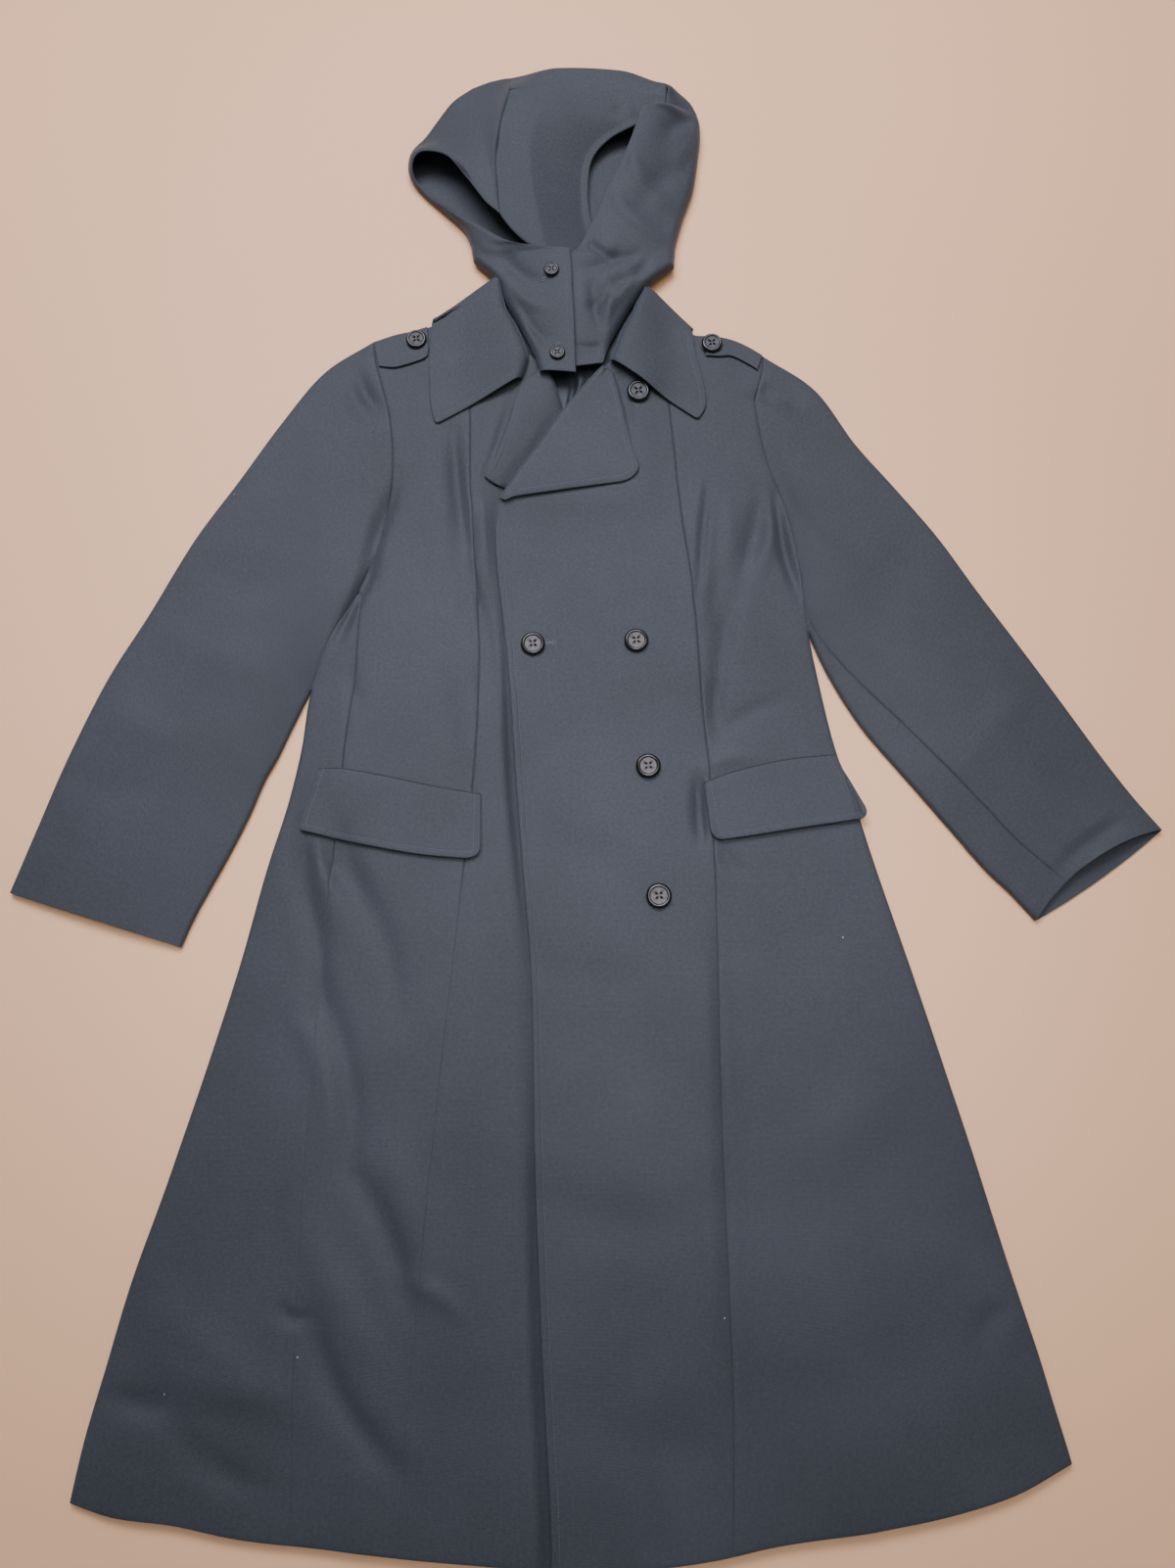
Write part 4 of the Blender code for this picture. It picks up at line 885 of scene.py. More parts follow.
# %% [markdown]
# ## A piece of cloth
# Each piece is a grid of points, as a weaver would see it: rows across and columns along. The
# grid gets a UV map from its own lengths, so that the weave isn't stretched, and then Solidify
# gives it the wall of real cloth, inwards from the face that shows.

# %% Building a piece of cloth
NEARLY_FLAT = 8.0
TOPS = {}


def cloth_piece(name, grids, wall, finish, up=True):
    """One piece from its grids of points in millimetres, joined where their edges meet."""
    points, faces, maps, start, widths, heights = [], [], [], 0, [], []
    for grid in grids:
        g = np.asarray(grid, float)
        count, wide = g.shape[:2]
        across = np.cumsum(np.linalg.norm(np.diff(g, axis=1, prepend=g[:, :1]), axis=2), 1)
        down = np.cumsum(np.linalg.norm(np.diff(g, axis=0, prepend=g[:1]), axis=2), 0)
        widths.append(across[:, -1].max())
        heights.append(down[-1].max())
        across, down = across - across[:, wide // 2][:, None], down[:, wide // 2][:, None]
        maps.append(np.stack(np.broadcast_arrays(across, down), -1).reshape(-1, 2) * MM)
        points.append((g.reshape(-1, 3) - MIDDLE) * MM)
        index = start + np.arange(count * wide).reshape(count, wide)
        corners = [index[:-1, :-1], index[:-1, 1:], index[1:, 1:], index[1:, :-1]]
        faces.append(np.stack(corners, -1).reshape(-1, 4))
        start += count * wide
    mesh = bpy.data.meshes.new(name)
    mesh.from_pydata(np.concatenate(points), [], np.concatenate(faces).tolist())
    vertex = np.empty(len(mesh.loops), int)
    mesh.loops.foreach_get("vertex_index", vertex)
    uv = mesh.uv_layers.new(name="cloth")
    uv.data.foreach_set("uv", np.concatenate(maps)[vertex].ravel())
    form = bmesh.new()
    form.from_mesh(mesh)
    bmesh.ops.remove_doubles(form, verts=form.verts, dist=1e-6)
    bmesh.ops.dissolve_degenerate(form, edges=form.edges, dist=1e-7)
    bmesh.ops.recalc_face_normals(form, faces=form.faces)
    form.faces.ensure_lookup_table()
    # Which way is out shows best in the whole of a flat piece, and in the first row of another
    flat = not up and len(grids) == 1 and np.ptp(np.asarray(grids[0])[..., 2]) < NEARLY_FLAT
    first = form.faces[: len(form.faces) if flat else len(grids[0][0]) - 1]
    if (sum(face.normal.z * face.calc_area() for face in first) > 0) != up:
        bmesh.ops.reverse_faces(form, faces=form.faces)
    TOPS[name] = BVHTree.FromBMesh(form)
    form.to_mesh(mesh)
    form.free()
    mesh.shade_smooth()
    mesh.materials.append(finish)
    thick = new_object(name, mesh).modifiers.new("wall", "SOLIDIFY")
    thick.thickness = wall * MM
    thick.offset = -1.0
    thick.use_even_offset = False
    thick.use_quality_normals = True
    area = sum(face.area for face in mesh.polygons)
    size = f"{sum(widths) * MM:.3f} x {max(heights) * MM:.3f} m, {area:.4f} m2"
    print(f"{name}: {len(mesh.polygons)} faces, {size}")


def shares_of(length, step, start=(0.0,), end=(0.0,)):
    """Shares of a length in millimetres: close at its ends as given, and even between them."""
    start, end = np.array(start, float), np.array(end, float)
    count = max(2, int((length - start[-1] - end[-1]) / step))
    inside = np.linspace(start[-1], length - end[-1], count)
    return np.concatenate([start[:-1], inside, (length - end[::-1])[1:]]) / length


def body_grid(left, right, levels, height, lift=0.0, step=5.0, near_left=(0.0,), near_right=(0.0,)):
    """Rows of a body panel between two lines; `near_left` and `near_right` are in millimetres."""
    levels = np.asarray(levels, float)[:, None]
    a, b = left(levels), right(levels)
    width = b - a
    near_left, near_right = np.array(near_left), np.array(near_right)
    narrow = np.minimum(1.0, width / (1.6 * (near_left[-1] + near_right[-1]) + 4.0))
    count = max(3, int((float(np.median(width)) - near_left[-1] - near_right[-1]) / step))
    start, stop = a + near_left[-1] * narrow, b - near_right[-1] * narrow
    inside = start + (stop - start) * np.linspace(0, 1, count)
    x = np.concatenate([a + near_left[:-1] * narrow, inside, b - near_right[-2::-1] * narrow], 1)
    y = body_y(x, levels)
    return stack(x, y, height(x, y) + lift * (1 - rounding(fold_distance(x, y))))


print("ready to cut cloth")

# %% [markdown]
# ## The body
# Eight panels: the two fronts, which lap over each other, a side front and a side back on each
# side, and two halves of the back, which lie on the floor. Straight panels and long seams give
# the flared skirt. Each grid is cut from two of the table's lines, so neighbours share a seam.

# %% Body panels
BACK_STEP = 12.0
AT_WAIST = 0.52


def middle_back(level):
    return 0.5 * (body_x("edge_l", level) + body_x("edge_r", level))


def back_princess(edge):
    return lambda level: middle_back(level) + (body_x(edge, level) - middle_back(level)) * AT_WAIST


def beside(line, offset=0.0):
    """A line of the table or a function, moved aside by an offset."""
    if isinstance(line, str):
        return lambda level: body_x(line, level) + offset
    return lambda level: line(level) + offset


def side_front_left_edge(level):
    return np.where(level > ARMPIT_LEFT, body_x("edge_l", level), body_x("side_l", level))


def back_surface(x, y):
    """The floor side, drawn in by a hair along its seams."""
    near = np.min([np.abs(x - seam(level_at(x, y))) for seam in (back_l, middle_back, back_r)], axis=0)
    return floor_side(x, y) + 0.7 * np.exp(-((near / 1.5) ** 2))


def parted_at_shoulder(x, y):
    at_fold = 1 - rounding(fold_distance(x, y))
    return back_surface(x, y) - FOLD_GAP * at_fold * ramp(y, 300, 380)


def sewn_front(x, y):
    """The upper front with its topstitched edge, which ends where the lapel breaks."""
    past = np.clip(past_front_edge(x, y), 0, None)
    return sewn_top(upper_front)(x, y) + topstitch_press(past) * ramp(y, 252, 242)


back_l, back_r = back_princess("edge_l"), back_princess("edge_r")
FOLD_STEPS = roll_steps()
FLOOR_SEAM = SEAM_STEPS[:5]
half = SEAM / 2
back_panels = {
    # name: left line, right line, levels, columns beside the right line
    "cloth_back_left": (beside(back_l, half), beside(middle_back, -half), LEVELS[::2], FLOOR_SEAM),
    "cloth_back_right": (beside(middle_back, half), beside(back_r, -half), LEVELS[::2], FLOOR_SEAM),
    "cloth_side_back_right": (beside(back_r, half), beside("edge_r"), LEVELS, FOLD_STEPS),
}
for name, (left, right, levels, near_right) in back_panels.items():
    grid = body_grid(left, right, levels, back_surface, -FOLD_GAP, BACK_STEP, FLOOR_SEAM, near_right)
    cloth_piece(name, [grid], CLOTH, twill, False)
cloth_piece("cloth_side_back_left", [
    body_grid(beside("edge_l"), beside(back_l, -half), LEVELS, parted_at_shoulder,
              0.0, BACK_STEP, FOLD_STEPS, FLOOR_SEAM),
    body_grid(beside("edge_l"), beside("side_l", -half), LEVELS[LEVELS <= ARMPIT_LEFT], sewn_top(top_side),
              0.0, 5.0, FOLD_STEPS, SEAM_STEPS)], CLOTH, twill, False)
top_panels = {
    # name: left line, right line, surface, step, and the columns beside the two lines
    "cloth_side_front_left": (beside(side_front_left_edge, half), beside("princess_l", -half),
                              sewn_top(top_side), 5.0, SEAM_STEPS, SEAM_STEPS),
    "cloth_side_front_right": (beside("princess_r", half), beside("edge_r"),
                               sewn_top(top_side), 5.0, SEAM_STEPS, FOLD_STEPS),
    "cloth_front_left": (beside("princess_l", half), beside("hidden_edge"),
                         sewn_top(under_gap), 3.0, SEAM_STEPS, (0.0,)),
    "cloth_front_right": (beside("front_edge"), beside("princess_r", -half),
                          sewn_front, 5.0, EDGE_STEPS, SEAM_STEPS),
}
for name, (left, right, surface, *columns) in top_panels.items():
    cloth_piece(name, [body_grid(left, right, LEVELS, surface, FOLD_GAP, *columns)], CLOTH, twill)

# %% [markdown]
# ## The sleeves
# A sleeve is a tube of two cloths. Its rows run across from the outer fold to the inner one, and
# the first row is the armhole itself, so the sleeve head eases out of the shoulder without a gap.
# The open right cuff draws back on top and shows a little of its inside.

# %% Sleeves
def lengths_along(points):
    """How far along a line each of its points lies."""
    return np.concatenate([[0], np.cumsum(np.hypot(*np.diff(points, axis=0).T))])


def sleeve_plan(rows, edge, fork, s, u):
    """Points in plan at sections `s` and shares `u` of the width, easing out of the armhole."""
    levels = LEVELS[LEVELS >= fork][::-1]
    run = lengths_along(level_line(edge, levels))
    level = np.interp(u, run / run[-1], levels)
    ax = body_x(edge, level)
    ay = body_y(ax, level)
    x0, y0 = sleeve_point(rows, 0 * s, u)
    x, y = sleeve_point(rows, s, u)
    fade = 1 - ramp(s, 0, 1)
    away = np.sign(rows["outer_x"][0]) * SEAM * np.sin(np.pi * u)
    return x + fade * (ax + away - x0), y + fade * (ay - y0)


def share_at(place, s, distance, end):
    """The share at which each row lies `distance` from the folded outline, near one end."""
    low, high = np.zeros(s.shape), np.full(s.shape, 0.12)
    for _ in range(20 if distance else 0):
        middle = (low + high) / 2
        near = fold_distance(*sleeve_plan(*place, s, np.abs(end - middle))) < distance
        low, high = np.where(near, middle, low), np.where(near, high, middle)
    return np.abs(end - low)


def sleeve_grid(place, height, lift_outer, lift_inner, end_bow, start=None, stop=None, step=5.0):
    """Rows across a sleeve, from its outer fold to its inner one, or to or from its seam."""
    rows = place[0]
    s = sections_of(rows)[:, None]
    last = len(rows["bow"]) - 1
    ox, oy, ix, iy, _ = row_values(rows, s)
    width = np.hypot(ox - ix, oy - iy)
    if start is None:
        first = np.concatenate([share_at(place, s, d, 0.0) for d in FOLD_STEPS], 1)
    else:
        first = start(s) + (SEAM / 2 + FLOOR_SEAM) / width
    if stop is None:
        final = np.concatenate([share_at(place, s, d, 1.0) for d in FOLD_STEPS[::-1]], 1)
    else:
        final = stop(s) - (SEAM / 2 + FLOOR_SEAM[::-1]) / width
    typical = float(np.median((final[:, 0] - first[:, -1]) * width[:, 0]))
    even = np.linspace(0, 1, max(4, int(typical / step)))[1:-1]
    u = np.concatenate([first, first[:, -1:] + (final[:, :1] - first[:, -1:]) * even, final], 1)
    x, y = sleeve_plan(*place, s, u)
    dx, dy = rows["inner_x"][last] - rows["outer_x"][last], rows["inner_y"][last] - rows["outer_y"][last]
    bow = end_bow * np.clip(s - last + 1, 0, 1) * np.sin(np.pi * np.clip(u, 0, 1)) ** 0.8 / math.hypot(dx, dy)
    x, y = x + bow * dy, y - bow * dx
    lift = np.where(u < 0.5, lift_outer, lift_inner)
    z = height(x, y) + lift * (1 - rounding(fold_distance(x, y)))
    z = np.where((u <= 0) | (u >= 1), back_lift(x, y) + FOLD_RADIUS + lift, z)
    return stack(x, y, z)


left_sleeve = (SLEEVE_LEFT, "edge_l", FORK_LEFT)
right_sleeve = (SLEEVE_RIGHT, "edge_r", FORK_RIGHT)
sewn, gap = sewn_top(top_side), FOLD_GAP
cloth_piece("cloth_sleeve_left_upper", [sleeve_grid(left_sleeve, sewn, gap, gap, 0)], CLOTH, twill)
cloth_piece("cloth_sleeve_left_under", [sleeve_grid(left_sleeve, floor_side, -gap, -gap, 0, step=BACK_STEP)],
            CLOTH, twill, False)
cloth_piece("cloth_sleeve_right_upper", [
    sleeve_grid(right_sleeve, sewn, gap, gap, CUFF_DRAWN_BACK, stop=sleeve_seam_share)], CLOTH, twill)
cloth_piece("cloth_sleeve_right_under", [
    sleeve_grid(right_sleeve, floor_side, -gap, 0, -CUFF_REACH, step=BACK_STEP),
    sleeve_grid(right_sleeve, sewn, 0, 0, CUFF_DRAWN_BACK, start=sleeve_seam_share)], CLOTH, twill, False)

# %% [markdown]
# ## Collar and lapels
# The collar is a band that rises at the neck, rolls over and falls on the shoulders; behind the
# hood it runs on under the back. A lapel is the front itself turned back along its roll line.
# Both are double cloth, topstitched round the edge, so both get a thicker wall and fine columns
# beside the edge.

# %% Sizes of collar and lapels
COLLAR = table("""
inner_x inner_y outer_x outer_y
    -72     390    -166     336
    -67     405    -172     358
    -66     421    -175     395
    -79     455    -175     430
    -93     482    -174     452
   -104     514    -171     463
    -88     512    -146     440
    -60     515     -92     424
    -20     515     -20     420
     25     508      52     423
     52     500      96     436
     69     502     115     453
     53     478     120     424
     45     462     126     398
     37     446     130     374
     30     425     129     356
     25     410     121     341
""")
COLLAR_TIP = 5.0
COLLAR_TUCK = 7.0
COLLAR_FALL = 2.8
COLLAR_ROLL = 8.5
COLLAR_TURN = 5.0
COLLAR_BULGE = 4.6
COLLAR_BULGE_PLACE = (58.0, 378.0)
COLLAR_BULGE_REACH = 24.0
COLLAR_ROW_LEFT = 22.0
COLLAR_ROW_RIGHT = 17.0
COLLAR_WIDE = 104.0
DOUBLE_STEP = 4.5
COLLAR_SHARES = shares_of(COLLAR_WIDE, DOUBLE_STEP, (0, 1.5, 3.5, 7, 12), EDGE_STEPS)
LAPEL_WIDE = 95.0
LAPEL_LONG = 150.0
LAPEL_SWELL = 1.2
LAPEL_RIGHT = table("""
level outer_x outer_y
  246      44     267
  262      54     278
  300      49     306
  343      42     342
  362      35     376
  375      28     399
""")
LAPEL_LEFT = table("""
level outer_x outer_y
  246     -96     264
  262    -109     272
  300    -103     290
  343     -88     333
  360     -79     366
  374     -72     386
""")
print(len(COLLAR["inner_x"]), "rows of the collar")


# %% Collar
def corner_cut(near, radius):
    """How far an edge draws back beside a rounded corner."""
    return radius * (1 - rounding(near, radius))


def sewn_round(grid, border):
    """Presses the edge and its topstitching into a grid along a border line."""
    grid = np.array(grid)
    grid[..., 2] += topstitch_press(distance_to(grid[..., 0], grid[..., 1], as_segments(border)))
    return grid


def collar_plan(k, u, cut=0.0):
    """Points along a row of the collar. At the shoulders its neck edge is tucked under the hood."""
    ix, iy, ox, oy = row_values(COLLAR, k)
    long = np.hypot(ox - ix, oy - iy)
    tuck = COLLAR_TUCK * np.clip(1 - min(abs(k - 5), abs(k - 11)) / 1.2, 0, 1)
    share = u * (1 - cut / long) - (1 - u) * tuck / long
    return ix + (ox - ix) * share, iy + (oy - iy) * share


def collar_fall(k, u, surface, tip_near):
    """A row that lies on the fronts and, towards the shoulder, starts to turn under."""
    x, y = collar_plan(k, u, corner_cut(tip_near, COLLAR_TIP))
    turning = np.clip(k - 4 if k < 6 else 12 - k, 0, 1)
    roll = COLLAR_ROLL * (1 - ramp(u, 0, 0.75))
    from_bulge = np.hypot(x - COLLAR_BULGE_PLACE[0], y - COLLAR_BULGE_PLACE[1])
    lift = COLLAR_BULGE * np.exp(-((from_bulge / COLLAR_BULGE_REACH) ** 2)) + swells("collar", x, y)
    flat = surface(x, y) + COLLAR_FALL + roll * rounding(u, 0.12) + lift * (1 - turning)
    turned = top_side(x, y - 8) + COLLAR_FALL + roll * 0.5
    return stack(x, y, flat * (1 - turning) + turned * turning)


def collar_turn(k, u, angles):
    """Rows that wrap over the shoulder fold from the top to the floor side."""
    x, y = collar_plan(k, u)
    half_way = (top_side(x, y - 8) + COLLAR_FALL + COLLAR_ROLL * (1 - ramp(u, 0, 0.75)) * 0.5) / 2
    out = np.array([y[0] - y[-1], x[-1] - x[0]])
    out = out / np.hypot(*out) * np.sign(out[1])
    a = np.radians(angles)[:, None]
    reach = COLLAR_TURN * np.cos(a)
    return stack(x + out[0] * reach, y + out[1] * reach, half_way + half_way * np.sin(a))


angles = np.linspace(90, -90, 13)
tip_steps = np.array((0, 0.6, 1.4, 2.4, 3.6, 4.8, 6, 6.6, 7, 7.4, 8, 9.5))
left_rows = np.concatenate([tip_steps / COLLAR_ROW_LEFT, np.linspace(0.5, 4.96, 34)])
right_rows = 16 - left_rows[::-1] * 0.975
right_rows = right_rows[right_rows > 11.04]
u = COLLAR_SHARES
rows_left = np.array([collar_fall(k, u, top_side, k * COLLAR_ROW_LEFT) for k in left_rows])
rows_right = np.array([collar_fall(k, u, upper_front, (16 - k) * COLLAR_ROW_RIGHT) for k in right_rows])
under = [stack(*collar_plan(k, u), 0.0) for k in np.linspace(6, 10, 25)]
collar_border_left = np.concatenate([rows_left[0], rows_left[:, -1]])
collar_border_right = np.concatenate([rows_right[:, -1], rows_right[-1][::-1]])
cloth_piece("cloth_collar", [
    np.concatenate([sewn_round(rows_left, collar_border_left), collar_turn(5.0, u, angles), under,
                    collar_turn(11.0, u, angles[::-1]), sewn_round(rows_right, collar_border_right)])
], DOUBLE, twill)


# %% Lapels
def lapel(name, rows, roll_line, surface, off, corner):
    """A front turned back on itself along its roll line, lying on the front."""
    turn = [(-2.8, -0.5), (-2.9, 0.7), (-2.3, 1.9), (-1.4, 2.9), (-0.3, 3.5 + off * 0.3),
            (2.0, 3.6 + off * 0.7), (5.0, 3.3 + off)]
    first, final = rows["level"][0], rows["level"][-1]
    shares = shares_of(LAPEL_WIDE, DOUBLE_STEP, (0,), EDGE_STEPS)[1:]
    down = shares_of(LAPEL_LONG, DOUBLE_STEP, EDGE_STEPS, EDGE_STEPS[::4])
    grid = []
    for level in first + (final - first) * down:
        ox, oy = read(rows, "outer_x", level), read(rows, "outer_y", level)
        rx = body_x(roll_line, level)
        ry = body_y(rx, level)
        slope = (body_x(roll_line, level + 4) - body_x(roll_line, level - 4)) / 8
        square = np.array([1.0, -slope]) / math.hypot(1, slope)
        square = square * np.sign(square[0] * (ox - rx) + square[1] * (oy - ry))
        points = []
        for d, up in turn:
            x, y = np.array([rx + square[0] * max(d, 1.0)]), np.array([ry + square[1] * max(d, 1.0)])
            points.append((rx + square[0] * d, ry + square[1] * d, surface(x, y)[0] + up))
        reach = math.hypot(ox - rx, oy - ry)
        begin = min(0.3, 9.0 / max(reach, 12.0))
        scale = 1 - corner_cut((level - first) * 1.2, corner) / max(reach, 20.0)
        s = (begin + (1 - begin) * shares) * scale
        x, y = rx + (ox - rx) * s, ry + (oy - ry) * s
        z = surface(x, y) + off + DOUBLE + LAPEL_SWELL * (1 - s) + swells("lapel", x, y)
        grid.append(np.concatenate([points, stack(x, y, z)]))
    grid = np.array(grid)
    border = np.concatenate([grid[0][8:], grid[:, -1], grid[-1][:7:-1]])
    cloth_piece(name, [sewn_round(grid, border)], DOUBLE, twill)
    return border


lapel_border_left = lapel("cloth_lapel_left", LAPEL_LEFT, "hidden_edge", under_lapel, 2.2, 8.0)
lapel_border_right = lapel("cloth_lapel_right", LAPEL_RIGHT, "front_edge", upper_front, 1.2, 9.0)

# %% [markdown]
# ## Pocket flaps and shoulder straps
# Flat pieces of double cloth on the coat: the flap is sewn along its top edge and hangs free
# below, and the strap is held by the armhole seam at one end and by its button at the other.

# %% Flaps and straps
FLAP_LEFT = table("""
top_x top_y low_x low_y
 -276   -50  -293  -114
 -249   -50  -272  -119
 -205   -58  -223  -130
 -158   -68  -166  -140
 -108   -77  -107  -145
""")
FLAP_RIGHT = table("""
top_x top_y low_x low_y
  118   -65   125  -126
  150   -53   162  -121
  195   -42   211  -113
  230   -37   250  -107
  254   -35   287  -101
""")
FLAP_WIDE = 66.0
FLAP_CORNER = 13.0
FLAP_LIFT = 2.2
STRAP_WIDE = 42.0
STRAP_LONG = 62.0
STRAP_STEP = 3.0
STRAP_LEFT = table("""
upper_x upper_y lower_x lower_y
   -238     437    -231     408
   -222     445    -214     406
   -205     450    -196     410
   -190     456    -179     417
   -179     459    -176     428
""")
STRAP_RIGHT = table("""
upper_x upper_y lower_x lower_y
    195     424     188     404
    180     434     178     411
    162     442     160     420
    144     446     146     419
    133     447     131     420
""")


def flap(name, rows):
    count = len(rows["top_x"]) - 1
    run = math.hypot(rows["low_x"][-1] - rows["low_x"][0], rows["low_y"][-1] - rows["low_y"][0])
    u = shares_of(FLAP_WIDE, DOUBLE_STEP, FLOOR_SEAM, EDGE_STEPS)
    grid = []
    for s in shares_of(run, DOUBLE_STEP, EDGE_STEPS, EDGE_STEPS):
        top_x, top_y, low_x, low_y = row_values(rows, s * count)
        cut = corner_cut(min(s, 1 - s) * run, FLAP_CORNER)
        reach = 1 - cut / math.hypot(low_x - top_x, low_y - top_y)
        x, y = top_x + (low_x - top_x) * u * reach, top_y + (low_y - top_y) * u * reach
        off = 0.4 + DOUBLE + FLAP_LIFT * u**2 + 0.7 * ramp(u, 0, 0.12) + u * swells("flap", x, y)
        grid.append(stack(x, y, top_side(x, y) + off))
    grid = np.array(grid)
    border = np.concatenate([grid[0], grid[:, -1], grid[-1][::-1]])
    grid = sewn_round(grid, border)
    grid[:, 0, 2] -= 1.0
    cloth_piece(name, [grid], DOUBLE, twill)
    return border


def strap(name, rows):
    count = len(rows["upper_x"]) - 1
    u = shares_of(STRAP_WIDE, STRAP_STEP, (3.4, 4.2, 5, 6), EDGE_STEPS)
    grid = []
    for s in count * shares_of(STRAP_LONG, STRAP_STEP, (0, 1, 3), EDGE_STEPS):
        ux, uy, lx, ly = row_values(rows, s)
        x, y = ux + (lx - ux) * u, uy + (ly - uy) * u
        grid.append(stack(x, y, top_side(x, y) + 0.8 + DOUBLE))
    grid = np.array(grid)
    border = np.concatenate([grid[:, -1], grid[-1][::-1]])
    cloth_piece(name, [sewn_round(grid, border)], DOUBLE, twill)
    return border


flap_border_left = flap("cloth_flap_left", FLAP_LEFT)
flap_border_right = flap("cloth_flap_right", FLAP_RIGHT)
strap_border_left = strap("cloth_strap_left", STRAP_LEFT)
strap_border_right = strap("cloth_strap_right", STRAP_RIGHT)

# %% [markdown]
# ## The hood
# The hood stands open, held up by its own seams: two side panels whose free edges frame the
# face, and a middle strip that goes over the crown and down the back. The left panel's end is
# the chin tab. Only the tables know the shape; the rows are read smoothly between them, but
# with a sharp turn at each corner of the free edge.

# %% Sizes of the hood
HOOD_LEFT = table("""
fold_x fold_y free_x free_y free_z belly floor_y
   -52    394    -13    391     27     0     470
   -59    418    -14    420     28     0     490
   -74    452    -15    455     30     0     505
   -90    484    -17    488     31     1     515
-101.5    513    -18    517     32     1     527
  -129    541    -20    542     33     1     545
  -131    551    -48    546     31     2     558
  -133    563    -76    550     28     4     568
  -142    584    -98    563     21     5     582
  -162    605   -130    590     15     3     600
  -187    629   -170    621      9     1     620
  -203    649   -197    645     13     0     640
  -208    668   -200    661     24     1     662
  -204    686   -188    669     31     2     684
  -189    705   -160    660     35     3     706
  -175    728   -137    632     35     4     724
  -158    754   -115    601     34     6     740
  -136    772    -99    586     33     8     754
  -116    781   -104    650     37     5     764
  -101    785    -99    702     38     3     770
   -91    787    -90    750     32     0     774
""")
HOOD_RIGHT = table("""
fold_x fold_y free_x free_y free_z belly floor_y
    17    406    -42    398     20     1     470
    24    430    -42    425     21     2     490
    34    452    -42    455     22     3     505
    49    480    -41    490     24     4     515
    65    504    -39    518     25     5     527
    98    533    -34    538     26     6     552
    99    548    -12    546     26     7     562
   101    566      8    585     28     6     574
   110    600     24    622     32     5     600
   122    637     37    650     35     4     636
   128    676     48    676     38     3     672
   131    700     56    701     38     3     700
 131.5    714     63    723     38     2     714
   131    725     82    729     37     1     724
   128    738     91    736     29    -2     736
   121    752     92    745     31    -1     748
   108    765     93    753     33     1     760
    94    775     92    761     29     0     770
""")
HOOD_FLOOR_SEAMS = table("""
  y left right
470  -50    25
550  -51    32
592  -54    36
636  -58    42
700  -64    52
742  -71    63
765  -81    78
775  -86    87
785  -86    88
""")
HOOD_CROWN = table("""
left_x left_y right_x right_y bow left_z right_z hollow
 -99.0    586    13.0     576 -40   33.0    18.0     10
-101.5    618     3.0     606 -20   35.0    20.5     12
-104.0    650     1.0     643  -8   37.0    23.0     12
-101.5    676     6.0     675   0   37.5    26.0     12
 -99.0    702    26.0     698   6   38.0    28.5     10
 -94.5    727    58.0     713   8   34.9    31.0      7
 -92.3    738    78.0     724   6   33.5    28.5      5
 -91.0    745    90.7     738   8   32.6    29.0      3
 -90.0    752    91.6     746  10   31.0    31.5      3
""")
HOOD_CROWN_BOW = 10.6
HOOD_CROWN_HIGH = 30.0
HOOD_TURN_GAP = 0.1
HOOD_FOLD_HEIGHT = 7.0
HOOD_RISE_AT_NECK = 5.0
HOOD_RISE_AT_CHIN = 9.0
HOOD_CURL_TOP = 0.45
HOOD_CURL_BELOW = 0.6
HOOD_FLOOR_ROW = 4
HOOD_NECK_REST = BACK_COLLAR_LIFT + CLOTH + 0.8 + LINING + 0.35
HOOD_LAP = 0.5
HOOD_PRESS = {"left": 0.8, "right": 0.25}
HOOD_FACE_ROWS = 6
HOLLOW_END = 0.92
HOLLOW_DEPTH = 1.25
HOLLOW_RIDGE = (np.array([0, 3, 8]), np.array([0.48, 0.34, 0.3]))
CROWN_WIDTH = 180.0
HOOD_CREASES = table("""
  x1  y1   x2  y2 bend width height
  90 560   30 610   -8     9    2.4
  96 600   44 668   -8    10    2.2
 112 660   60 600    6    12   -2.0
 -14 426   34 427    2     5   -1.6
  30 500   70 540    6     7   -2.4
  20 470   52 520    6     8    2.4
 -10 520   40 545    8     8   -2.4
  -4 563   24 534    3     5   -3.0
  24 534   62 546    5     7   -2.0
   6 508   12 452    2     6   -2.6
  24 505   22 448   -2     6    1.8
   0 470   24 500    4     6   -2.0
 -96 545  -50 500    6     8   -2.2
 -86 500  -46 470    5     7    2.0
 -76 470  -40 430    4     7   -1.8
-130 560  -80 545    5     7    1.8
-160 620 -130 690   10    14    2.0
-180 660 -150 650    3     9   -1.6
 118 720   90 690    6     9   -2.6
 124 690  100 650    4    12    1.8
""")
CROWN_CREASES = table("""
 x1  y1  x2  y2 bend width height
 46 737  54 722    3     6    2.4
 36 738  43 722    3     7   -1.4
-70 716 -82 680    4    12    1.0
""")
print(len(HOOD_CREASES["x1"]) + len(CROWN_CREASES["x1"]), "creases on the hood")


# %% Surfaces of the hood
def hood_fold_centre(y):
    """Height of the middle of the hood's folded outline: it climbs where the hood enters the neck."""
    at_neck = HOOD_RISE_AT_NECK * ramp(y, 560, 505)
    return HOOD_FOLD_HEIGHT + at_neck + HOOD_RISE_AT_CHIN * ramp(y, 455, 400)


def hood_floor(y):
    """The hood lies on the floor, but for its neck, which lies on the back's lining."""
    return HOOD_NECK_REST * ramp(y, 548, 518)


